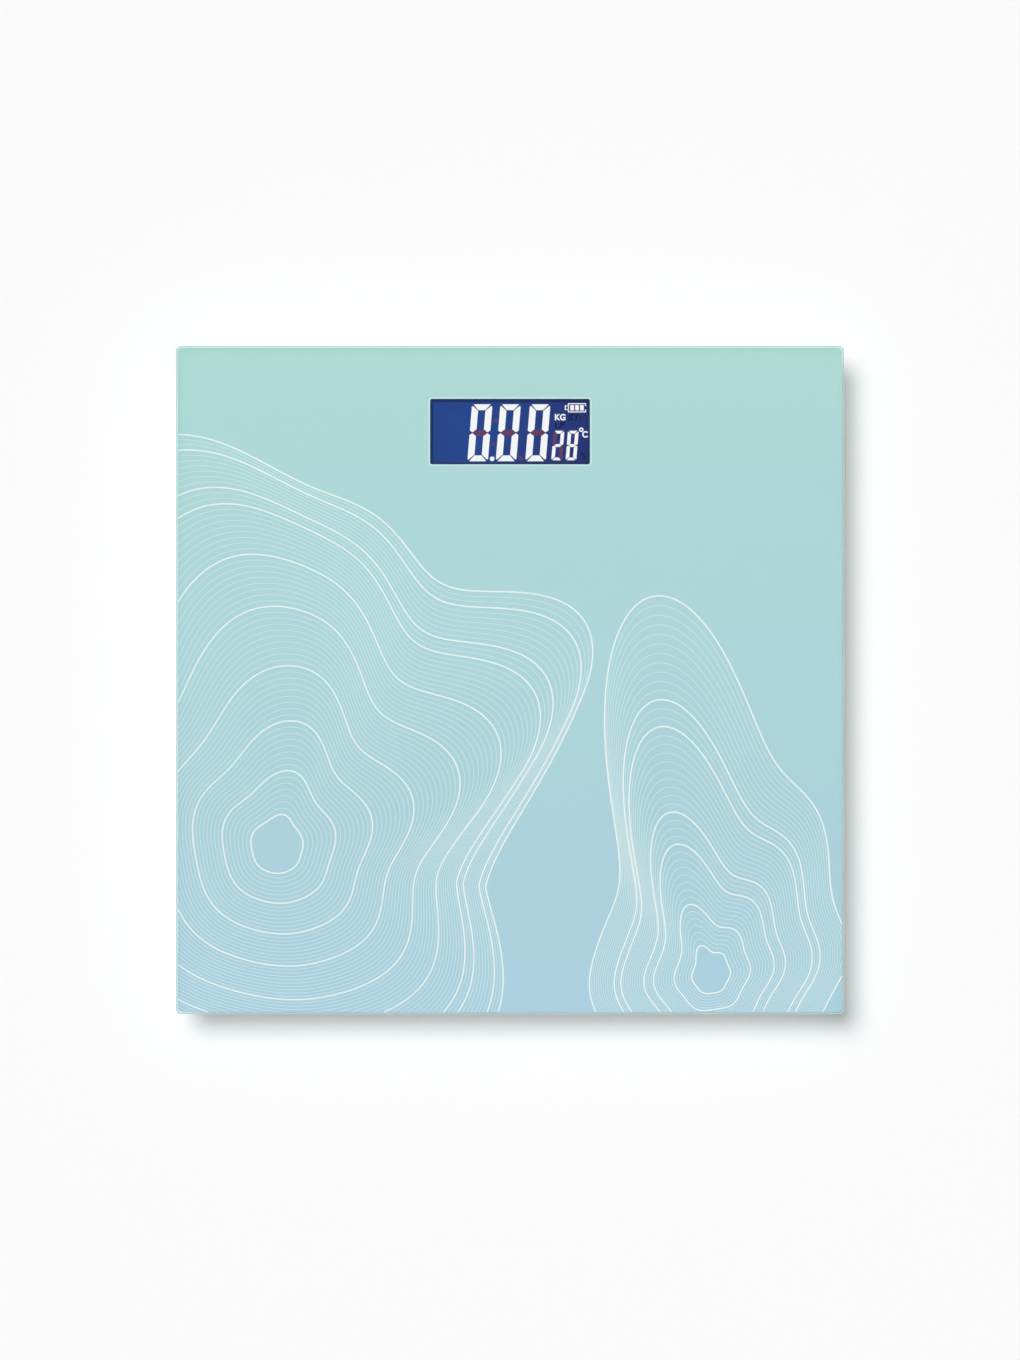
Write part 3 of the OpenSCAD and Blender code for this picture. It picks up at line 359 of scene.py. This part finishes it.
def inside_runs(points, half_w, half_d):
    """The stretches of a closed path that lie inside a rectangle, cut off at its edge."""
    inside = (np.abs(points[:, 0]) <= half_w) & (np.abs(points[:, 1]) <= half_d)
    if inside.all():
        return [(points.tolist(), True)]
    first_out = int(np.argmin(inside))
    points, inside = np.roll(points, -first_out, axis=0), np.roll(inside, -first_out)
    runs, run = [], []
    for i in range(1, len(points) + 1):
        before, here = points[i - 1], points[i % len(points)]
        was_in, is_in = inside[i - 1], inside[i % len(points)]
        if was_in != is_in:
            out_point, in_point = (before, here) if is_in else (here, before)
            share = max((abs(out_point[k]) - half) / max(abs(out_point[k] - in_point[k]), 1e-9)
                        for k, half in ((0, half_w), (1, half_d)))
            run.append((out_point + (in_point - out_point) * min(share, 1)).tolist())
        if is_in:
            run.append(here.tolist())
        elif was_in:
            runs.append((run, False))
            run = []
    return [stretch for stretch in runs if len(stretch[0]) > 2]


def swell(angle, centre, width):
    """A smooth hump about one direction, 1 at its middle."""
    apart = (angle - math.radians(centre) + math.pi) % (2 * math.pi) - math.pi
    return np.exp(-(apart / math.radians(width)) ** 2)


TURN = np.linspace(0, 2 * math.pi, 480, endpoint=False)


def loops_at_left(level):
    """How far a loop reaches each way, in millimetres. Larger ones grow a tongue and a ridge."""
    swing = 30 * (1 - level)
    return (104 * level ** 0.85
            + 62 * level ** 1.7 * swell(TURN, 36 - swing, 19 + 12 * (1 - level))
            + 78 * level ** 1.25 * swell(TURN, 108 - swing, 26)
            + 24 * level ** 1.5 * swell(TURN, 72, 14)
            - 22 * level ** 1.3 * swell(TURN, 0, 26)
            + 18 * level ** 1.1 * swell(TURN, -40, 22)
            + 3 * level * np.sin(5 * TURN + 1.1) + 5.5 * level * (1 - level) * np.sin(3 * TURN + 0.4))


def arches_at_right(level):
    """How far an arch reaches each way, in millimetres. Larger ones lean less and grow a shoulder."""
    return (48 * level ** 0.8
            + 112 * level ** 1.3 * swell(TURN, 99 + 10 * (1 - level), 19)
            + 32 * level ** 1.1 * swell(TURN, 62, 24)
            + 9 * level * swell(TURN, 20, 30)
            + 2.2 * level * np.sin(6 * TURN + 0.7))


PRINT_MARGIN = 0.0002
film_half = (film_high.x - PRINT_MARGIN, film_high.y - PRINT_MARGIN)
fine_paths, bold_paths = [], []
# Families of lines: (reach, middle in millimetres, level of the smallest line, lines that are bold)
for reach_at, middle, smallest, bold_steps in (
        (loops_at_left, (-98, -70), 0.07, (0, 7, 15, 24, 34, 43, 52, 55, 62, 65)),
        (arches_at_right, (84, -124), 0.1, (0, 6, 14, 18, 28, 31, 42))):
    reach = np.zeros_like(TURN)
    for step in range(bold_steps[-1] + 1):
        level = smallest + (1 - smallest) * step / bold_steps[-1]
        reach = np.maximum(reach_at(level), reach + CLEAR)
        loop = np.stack([middle[0] + reach * np.cos(TURN),
                         middle[1] + reach * np.sin(TURN)], axis=1) / 1000
        (bold_paths if step in bold_steps else fine_paths).extend(inside_runs(loop, *film_half))
ribbons = ribbon_tree()
for name, paths, width, lift, ink in (
        ("fine_contour_lines", fine_paths, FINE, 0, screened("pale_line_ink", "#DCF1F4")),
        ("bold_contour_lines", bold_paths, BOLD, BOLD_LIFT, screened("white_line_ink", "#FBFFFF"))):
    from_nodes(name, ribbons, paths_mesh(name, paths, LINE_HEIGHT + lift),
                       {"Width": width, "Ink": ink})

WINDOW_HALF, WINDOW_Y, WINDOW_RADIUS = (0.0335, 0.0137), 0.1042, 0.0008


def window_loop(outset):
    """The outline of the display window, moved outwards by a distance."""
    return [([(x, y + WINDOW_Y) for x, y in rounded_outline(
        WINDOW_HALF[0] + outset, WINDOW_HALF[1] + outset, WINDOW_RADIUS + outset, steps=6)], True)]


# A pale halo just outside the window's edge, and a dark navy ring just inside it.
for name, outset, width, ink in (
        ("window_halo", 0.00042, 0.0007, screened("halo_ink", "#D3F0F3")),
        ("window_navy_ring", -0.0003, 0.00068, screened("navy_window_ring", "#06204A"))):
    from_nodes(name, ribbons, paths_mesh(name, window_loop(outset), LINE_HEIGHT + BORDER_LIFT),
                       {"Width": width, "Ink": ink})

# ---- Display ----
# A negative liquid crystal panel with a blue polariser, lit from behind. Lit segments let the white
# lamp light through; the ones that are off show as faint maroon ghosts.
polariser_low, polariser_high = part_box("lcd_polariser")
polariser, tree, surface = new_material("blue_polariser_backlit_and_painted_glow")
place = add(tree, "ShaderNodeTexCoord")
apart = add(tree, "ShaderNodeSeparateXYZ", {0: place.outputs["Object"]})
across = add(tree, "ShaderNodeMapRange", {"Value": apart.outputs["X"], "From Min": -0.01,
                                          "From Max": 0.034})
bleed = blend(tree, across.outputs[0], srgb("#28468C"), srgb("#2A3375"))
cloud = add(tree, "ShaderNodeTexNoise", {"Vector": place.outputs["Object"], "Scale": 160.0, "Detail": 1.0})
hue = add(tree, "ShaderNodeMapRange", {"Value": cloud.outputs["Fac"], "To Min": 0.9, "To Max": 1.12})
glow = add(tree, "ShaderNodeVectorMath", {0: bleed, 1: hue.outputs[0]}, operation="MULTIPLY")
# Glow of 0.12: partly backlight through the polariser, partly painted light lifting the recess's shade.
lcd = add(tree, "ShaderNodeBsdfPrincipled", {"Base Color": glow.outputs[0], "Roughness": 0.1,
                                             "Specular IOR Level": 0.3,
                                             "Emission Color": glow.outputs[0], "Emission Strength": 0.12})
tree.links.new(lcd.outputs[0], surface)
dress("lcd_polariser", polariser)


def lit_panel(name, colour, glow, base="#101828"):
    """A segment of the panel: backlight through the liquid crystal, a little uneven over about 2 mm."""
    material, tree, surface = new_material(name)
    place = add(tree, "ShaderNodeTexCoord")
    cloud = add(tree, "ShaderNodeTexNoise", {"Vector": place.outputs["Object"], "Scale": 500.0})
    level = add(tree, "ShaderNodeMapRange", {"Value": cloud.outputs["Fac"], "To Min": 0.97, "To Max": 1.02})
    light = add(tree, "ShaderNodeVectorMath", {0: srgb(colour)[:3], 1: level.outputs[0]},
                operation="MULTIPLY")
    part = add(tree, "ShaderNodeBsdfPrincipled", {"Base Color": srgb(base), "Roughness": 0.1,
                                                  "Specular IOR Level": 0.3,
                                                  "Emission Color": light.outputs[0],
                                                  "Emission Strength": glow})
    tree.links.new(part.outputs[0], surface)
    return material


lit = lit_panel("lit_segment", "#FFFFFF", 1.0)
ghost = lit_panel("maroon_ghost_segment", "#70405E", 0.4, "#553650")
dull = lit_panel("dark_ghost_mark", "#20305A", 0.05, "#1C2748")


def segments(width, height, bar_w, bar_h, gap):
    """The seven outlines of an upright digit whose lower left corner is the origin, in millimetres."""
    half, lean, nick = height / 2, 0.42 * bar_w, 0.26 * bar_w
    top = [(gap + 0.3, height), (width - gap - 0.3, height), (width - bar_w - gap * 0.2, height - bar_h),
           (bar_w + gap * 0.2, height - bar_h)]
    upper_left = [(0, height - gap - 0.25 * bar_w), (0, half + gap / 2 + nick), (lean, half + gap / 2),
                  (bar_w, half + bar_h / 2 + gap / 2), (bar_w, height - bar_h - gap * 0.8),
                  (0.3 * bar_w, height - 0.28 * bar_h - gap * 0.8),
                  (0.12 * bar_w, height - 0.12 * bar_h - gap)]
    middle = [(lean + gap / 2, half), (bar_w + gap / 2, half + bar_h / 2),
              (width - bar_w - gap / 2, half + bar_h / 2),
              (width - lean - gap / 2, half), (width - bar_w - gap / 2, half - bar_h / 2),
              (bar_w + gap / 2, half - bar_h / 2)]

    def across(shape):
        return [(width - x, y) for x, y in shape]

    def down(shape):
        return [(x, height - y) for x, y in shape]

    return {"a": top, "b": across(upper_left), "c": down(across(upper_left)), "d": down(top),
            "e": down(upper_left), "f": upper_left, "g": middle}


PANEL_HEIGHT = polariser_high.z + 0.00001
PLATE_THICKNESS = 0.00003
SLANT = math.tan(math.radians(4.7))


def plates(name, shapes, material):
    """Thin plates on the panel from outlines in millimetres, as one piece."""
    shell = bmesh.new()
    for shape in shapes:
        area = sum(a[0] * b[1] - b[0] * a[1] for a, b in zip(shape, shape[1:] + shape[:1]))
        shape = shape if area > 0 else shape[::-1]
        low = [shell.verts.new((x / 1000, y / 1000, PANEL_HEIGHT)) for x, y in shape]
        high = [shell.verts.new((x / 1000, y / 1000, PANEL_HEIGHT + PLATE_THICKNESS)) for x, y in shape]
        shell.faces.new(high)
        shell.faces.new(low[::-1])
        for i in range(len(shape)):
            j = (i + 1) % len(shape)
            shell.faces.new((low[i], low[j], high[j], high[i]))
    mesh = bpy.data.meshes.new(name)
    shell.to_mesh(mesh)
    shell.free()
    mesh.materials.append(material)
    piece = bpy.data.objects.new(name, mesh)
    bpy.context.scene.collection.objects.link(piece)
    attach(piece, "scale")


def round_dot(x, y, radius, sides=20):
    """The outline of a dot on the panel, in millimetres."""
    return [(x + radius * math.cos(2 * math.pi * i / sides), y + radius * math.sin(2 * math.pi * i / sides))
            for i in range(sides)]


def box_shape(x0, y0, x1, y1):
    """The outline of a bar on the panel, in millimetres."""
    return [(x0, y0), (x1, y0), (x1, y1), (x0, y1)]


# Sizes of digits: (width, height, bar width, bar height, gap between bars)
LARGE, SMALL = (8.6, 23.9, 2.75, 2.45, 0.42), (4.5, 12.4, 1.45, 1.2, 0.22)
# Digits: (left edge at the foot, foot, size, lit segments)
DIGITS = ((-17.9, 91.8, LARGE, "abcdef"), (-6.0, 91.8, LARGE, "abcdef"), (6.4, 91.8, LARGE, "abcdef"),
          (17.3, 92.2, SMALL, "abged"), (23.3, 92.2, SMALL, "abcdefg"))
on_shapes, off_shapes = [], []
for left, foot, size, on in DIGITS:
    for key, shape in segments(*size).items():
        placed = [(left + x + y * SLANT, foot + y) for x, y in shape]
        (on_shapes if key in on else off_shapes).append(placed)
on_shapes.append(round_dot(-7.5, 92.8, 0.98))
off_shapes += [round_dot(-6.1, 108.8, 0.75), round_dot(-6.9, 99.0, 0.75), round_dot(4.6, 93.0, 0.8)]
# Battery sign: a can with a nub and three bars
on_shapes += [box_shape(24.3, 115.75, 31.9, 116.15), box_shape(24.3, 112.3, 31.9, 112.7),
              box_shape(24.3, 112.7, 24.7, 115.75), box_shape(31.5, 114.95, 31.9, 115.75),
              box_shape(31.5, 112.7, 31.9, 113.5), box_shape(23.0, 113.3, 23.42, 115.2),
              box_shape(23.42, 114.85, 24.15, 115.2), box_shape(23.42, 113.3, 24.15, 113.65)]
on_shapes += [box_shape(x, 113.1, x + 1.55, 115.35) for x in (25.3, 27.35, 29.4)]
# Degree ring in two halves, each an arc out and a smaller arc back
RING_X, RING_Y, RING_OUTER, RING_INNER = 29.9, 105.0, 0.95, 0.42
for start in (0, 180):
    out = [(RING_OUTER, start + a) for a in range(0, 181, 15)]
    back = [(RING_INNER, start + a) for a in range(180, -1, -15)]
    on_shapes.append([(RING_X + radius * math.cos(math.radians(angle)),
                       RING_Y + radius * math.sin(math.radians(angle))) for radius, angle in out + back])
plates("lit_segments", on_shapes, lit)
plates("ghost_segments", off_shapes, ghost)


def unit_mark(name, letters, left, foot, width, height, material):
    """A unit's letters on the panel, fitted to a box in millimetres."""
    words = bpy.data.curves.new(name, "FONT")
    words.body = letters
    words.offset = 0.035
    carrier = bpy.data.objects.new(name + "_carrier", words)
    bpy.context.scene.collection.objects.link(carrier)
    mesh = bpy.data.meshes.new_from_object(carrier.evaluated_get(bpy.context.evaluated_depsgraph_get()))
    bpy.data.objects.remove(carrier)
    co = np.empty(len(mesh.vertices) * 3)
    mesh.vertices.foreach_get("co", co)
    co = co.reshape(-1, 3)
    low, high = co.min(0), co.max(0)
    co[:, 0] = (left + (co[:, 0] - low[0]) / (high[0] - low[0]) * width) / 1000
    co[:, 1] = (foot + (co[:, 1] - low[1]) / (high[1] - low[1]) * height) / 1000
    co[:, 2] = PANEL_HEIGHT + PLATE_THICKNESS
    mesh.vertices.foreach_set("co", co.ravel())
    mesh.materials.clear()
    mesh.materials.append(material)
    piece = bpy.data.objects.new(name, mesh)
    bpy.context.scene.collection.objects.link(piece)
    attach(piece, "scale")


unit_mark("kilogram_mark", "KG", 18.8, 108.9, 4.5, 2.75, lit)
unit_mark("celsius_mark", "C", 30.3, 101.7, 2.3, 2.75, lit)
unit_mark("stone_mark", "ST:", 24.5, 108.9, 5.5, 2.6, dull)
unit_mark("pound_mark", "LB", 18.9, 105.7, 4.4, 2.5, dull)
unit_mark("percent_mark", "%", 29.4, 92.6, 2.4, 3.0, dull)

# ---- Panel glass, light guide and reflector ----
# The panel is two sheets of 1.1 mm glass. Behind it a moulded acrylic guide with an embossed dot grid
# spreads the light of the lamps, and a white polyester sheet turns it forwards.


def coated(name, colour, second, mm, roughness, bump_mm=0.0, metallic=0.0, specular=0.5, stretch=(1, 1, 1)):
    """A surface whose colour wanders between two tones over a pattern of a given size in millimetres."""
    material, tree, surface = new_material(name)
    place = add(tree, "ShaderNodeTexCoord")
    laid = add(tree, "ShaderNodeMapping", {"Vector": place.outputs["Object"], "Scale": stretch})
    grain = add(tree, "ShaderNodeTexNoise", {"Vector": laid.outputs[0], "Scale": 1000 / mm, "Detail": 3.0,
                                             "Roughness": 0.6})
    tone = blend(tree, grain.outputs["Fac"], srgb(colour), srgb(second))
    gloss = add(tree, "ShaderNodeMapRange", {"Value": grain.outputs["Fac"], "To Min": roughness * 0.88,
                                             "To Max": min(roughness * 1.12, 1.0)})
    skin = add(tree, "ShaderNodeBsdfPrincipled", {"Base Color": tone, "Roughness": gloss.outputs[0],
                                                  "Metallic": metallic, "Specular IOR Level": specular})
    if bump_mm:
        relief = add(tree, "ShaderNodeBump", {"Height": grain.outputs["Fac"], "Strength": 0.5,
                                              "Distance": bump_mm / 1000})
        tree.links.new(relief.outputs[0], skin.inputs["Normal"])
    tree.links.new(skin.outputs[0], surface)
    return material


dress("lcd_panel", coated("liquid_crystal_glass", "#22407F", "#1C3570", 20, 0.08))
dress("light_guide", coated("embossed_acrylic", "#DCE8F5", "#EEF4FA", 0.8, 0.12, 0.02))
dress("light_reflector", coated("white_polyester_sheet", "#F4F6F7", "#E9ECEE", 6, 0.35))
dress("backlight_lamps", coated("lamp_phosphor", "#F6F0C8", "#EEDF9A", 1.2, 0.3))
dress("contact_strips", coated("layered_elastomer", "#5A5C60", "#1C1D20", 0.12, 0.6, 0.01,
                               stretch=(1, 0.02, 0.02)))

# ---- Bezel and foam ----
# The bezel is moulded in dark high-impact polystyrene with a spark-eroded matt face; the gasket and the
# battery door's pad are die-cut from black open-cell foam with pores of about 0.4 mm.
dress("lcd_bezel", coated("spark_eroded_polystyrene", "#2A2C30", "#232529", 0.35, 0.55, 0.02))
dress("window_gasket door_foam",
      coated("black_open_cell_foam", "#2B2B2E", "#101012", 0.4, 0.95, 0.15, specular=0.1))
dress("bonding_tape", coated("white_foam_tape", "#EDEDE8", "#DEDED8", 0.5, 0.85, 0.05, specular=0.2))

# ---- Base tray, foot cups, clamp rings and battery door ----
# White ABS mouldings. The tool is spark-eroded, so the faces have an even matt grain; it is drawn at
# 0.5 mm, a little coarser than the real 0.2 mm, so that it shows.
white_abs = coated("grained_white_abs", "#ECECE8", "#E2E2DD", 0.5, 0.5, 0.03)
dress("base_tray battery_door", white_abs)
CORNERS = ("front_left", "front_right", "rear_left", "rear_right")
for corner in CORNERS:
    dress(f"foot_cup_{corner} cell_clamp_{corner}", white_abs)

# ---- Rubber pads ----
# Compression-moulded dark thermoplastic rubber with two grip grooves. Handling leaves a faint grey
# bloom in patches of some 4 mm over a fine matt skin.
rubber, tree, surface = new_material("moulded_rubber")
place = add(tree, "ShaderNodeTexCoord")
bloom = add(tree, "ShaderNodeTexNoise", {"Vector": place.outputs["Object"], "Scale": 250.0, "Detail": 4.0})
skin = add(tree, "ShaderNodeTexNoise", {"Vector": place.outputs["Object"], "Scale": 2500.0})
tone = blend(tree, bloom.outputs["Fac"], srgb("#2C2C2E"), srgb("#45454A"))
relief = add(tree, "ShaderNodeBump", {"Height": skin.outputs["Fac"], "Strength": 0.4, "Distance": 0.00004})
pad = add(tree, "ShaderNodeBsdfPrincipled", {"Base Color": tone, "Roughness": 0.8,
                                             "Specular IOR Level": 0.3, "Normal": relief.outputs[0]})
tree.links.new(pad.outputs[0], surface)
for corner in CORNERS:
    dress(f"foot_pad_{corner}", rubber)

# ---- Load cells and gauges ----
# Each load cell is stamped from 2 mm spring steel and nickel-plated, with rolling marks along X. On its
# bending beams sit gauges of amber polyimide foil, sealed with white silicone.
rolled_steel = coated("nickel_plated_spring_steel", "#B9BBBE", "#A5A8AC", 0.3, 0.32, 0.01, metallic=1.0,
                      stretch=(0.04, 1, 1))
for corner in CORNERS:
    dress(f"load_cell_{corner}", rolled_steel)
dress("strain_gauges", coated("polyimide_foil", "#C98A35", "#B87A2A", 0.6, 0.3))
dress("gauge_sealant", coated("cured_silicone", "#F1F2F0", "#E4E6E4", 1.5, 0.35, 0.05))
dress("cell_screws board_screws",
      coated("zinc_plated_steel", "#C3C5C8", "#AEB0B5", 0.8, 0.3, 0.01, metallic=1.0))

# ---- Circuit board ----
# Green solder mask over 1.6 mm glass-fibre laminate, whose weave of about 0.6 mm shows through, with
# the copper tracks as a slightly paler green.
solder_mask, tree, surface = new_material("solder_mask_on_laminate")
place = add(tree, "ShaderNodeTexCoord")
warp, weft = [add(tree, "ShaderNodeTexWave", {"Vector": place.outputs["Object"], "Scale": 260.0},
                  bands_direction=direction) for direction in "XY"]
cloth = add(tree, "ShaderNodeMath", {0: warp.outputs["Fac"], 1: weft.outputs["Fac"]}, operation="MULTIPLY")
tracks = add(tree, "ShaderNodeTexBrick", {"Vector": place.outputs["Object"], "Color1": srgb("#1B6B3D"),
                                          "Color2": srgb("#1F7343"), "Mortar": srgb("#12522E"),
                                          "Scale": 60.0, "Mortar Size": 0.02, "Row Height": 0.12,
                                          "Brick Width": 0.9})
tone = blend(tree, cloth.outputs[0], tracks.outputs["Color"], srgb("#175E37"))
relief = add(tree, "ShaderNodeBump", {"Height": cloth.outputs[0], "Strength": 0.15, "Distance": 0.00003})
mask = add(tree, "ShaderNodeBsdfPrincipled", {"Base Color": tone, "Roughness": 0.35,
                                              "Normal": relief.outputs[0]})
tree.links.new(mask.outputs[0], surface)
dress("circuit_board", solder_mask)
dress("amplifier_chip processor_blob room_thermistor",
      coated("black_epoxy_resin", "#1B1B1D", "#121214", 0.3, 0.45, 0.02))
dress("smoothing_capacitors", coated("shrunk_sleeve", "#2C3A7C", "#25326E", 3, 0.35, 0.02))
dress("unit_switch", coated("glass_filled_nylon", "#2A2A2C", "#1E1E20", 0.3, 0.5, 0.02))

# ---- Unit button ----
# Grey ABS cap with a finger dish, under the tray, on an ivory acetal plunger.
dress("unit_button", coated("grained_grey_abs", "#8D9297", "#81868B", 0.5, 0.48, 0.03))
dress("switch_plunger", coated("ivory_acetal", "#EAE2CE", "#E0D6BE", 2, 0.4))

# ---- Batteries and contacts ----
# Two AAA cells: a nickel-plated steel can in a shrunk sleeve, dark green with a pale grey band at the
# nub end. The contacts are pressed and coiled from nickel-plated spring steel.


def sleeve_material(name, low, high, nub_end):
    """Sleeve and bare ends of a cell that lies along X, with its nub at nub_end (1 or -1)."""
    material, tree, surface = new_material(name)
    place = add(tree, "ShaderNodeTexCoord")
    apart = add(tree, "ShaderNodeSeparateXYZ", {0: place.outputs["Object"]})
    nub_x, tail_x = (high.x, low.x) if nub_end > 0 else (low.x, high.x)
    along = add(tree, "ShaderNodeMapRange", {"Value": apart.outputs["X"], "From Min": tail_x,
                                             "From Max": nub_x})
    sleeve_start, band_start, sleeve_end = 0.012, 0.8, 0.972
    bands = ramp(tree, along.outputs[0], ((0.0, "#B9BABD"), (sleeve_start, "#2F6A4C"),
                                          (band_start, "#C8CBCF"), (sleeve_end, "#B9BABD")))
    bands.color_ramp.interpolation = "CONSTANT"
    bare_low = add(tree, "ShaderNodeMath", {0: along.outputs[0], 1: sleeve_start}, operation="LESS_THAN")
    bare_high = add(tree, "ShaderNodeMath", {0: along.outputs[0], 1: sleeve_end},
                    operation="GREATER_THAN")
    bare = add(tree, "ShaderNodeMath", {0: bare_low.outputs[0], 1: bare_high.outputs[0]},
               operation="MAXIMUM")
    scuff = add(tree, "ShaderNodeTexNoise", {"Vector": place.outputs["Object"], "Scale": 900.0,
                                             "Detail": 3.0})
    gloss = add(tree, "ShaderNodeMapRange", {"Value": scuff.outputs["Fac"], "To Min": 0.24, "To Max": 0.34})
    sleeve = add(tree, "ShaderNodeBsdfPrincipled", {"Base Color": bands.outputs[0],
                                                    "Metallic": bare.outputs[0],
                                                    "Roughness": gloss.outputs[0]})
    tree.links.new(sleeve.outputs[0], surface)
    return material


dress("battery_front", sleeve_material("front_cell_sleeve", *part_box("battery_front"), 1))
dress("battery_rear", sleeve_material("rear_cell_sleeve", *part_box("battery_rear"), -1))
dress("contact_springs bridge_contact positive_contact negative_contact",
      coated("nickel_plated_contact", "#C9CBCE", "#B7B9BD", 0.5, 0.25, 0.005, metallic=1.0))

# ---- Leads ----
# Stranded copper in soft PVC: red, white and black from each load cell, red and black from the cells.
# The CAD strands are kept, smoothed, and split so that each has its own colour.
pvc = {"red": coated("red_pvc", "#B3282A", "#A82224", 4, 0.42, 0.02),
       "white": coated("white_pvc", "#E9E9E6", "#DFDFDB", 4, 0.42, 0.02),
       "black": coated("black_pvc", "#1F1F21", "#18181A", 4, 0.42, 0.02)}


def split_leads(node, colours):
    """One smooth piece for each strand of a CAD node, with the colours given in order."""
    shell = bmesh.new()
    shell.from_mesh(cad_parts[node].data)
    bmesh.ops.remove_doubles(shell, verts=shell.verts, dist=1e-7)
    left, strands = set(shell.verts), []
    while left:
        stack, strand = [next(iter(left))], set()
        while stack:
            vertex = stack.pop()
            if vertex not in strand:
                strand.add(vertex)
                stack += [e.other_vert(vertex) for e in vertex.link_edges]
        left -= strand
        strands.append(strand)
    strands.sort(key=lambda s: [round(sum(v.co[axis] for v in s) / len(s), 6) for axis in (1, 0)])
    for colour, strand in zip(colours, strands):
        order = {v: i for i, v in enumerate(sorted(strand, key=lambda v: v.index))}
        faces = sorted({f for v in strand for f in v.link_faces}, key=lambda f: f.index)
        piece = mesh_object(f"{node}_{colour}", [v.co for v in order],
                            [[order[v] for v in f.verts] for f in faces], [pvc[colour]])
        piece.data.shade_smooth()
        piece.data.set_sharp_from_angle(angle=math.radians(70))
        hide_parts(node)
    shell.free()


for corner in CORNERS:
    split_leads(f"cell_leads_{corner}", ("black", "red", "white"))
split_leads("battery_leads", ("red", "black"))
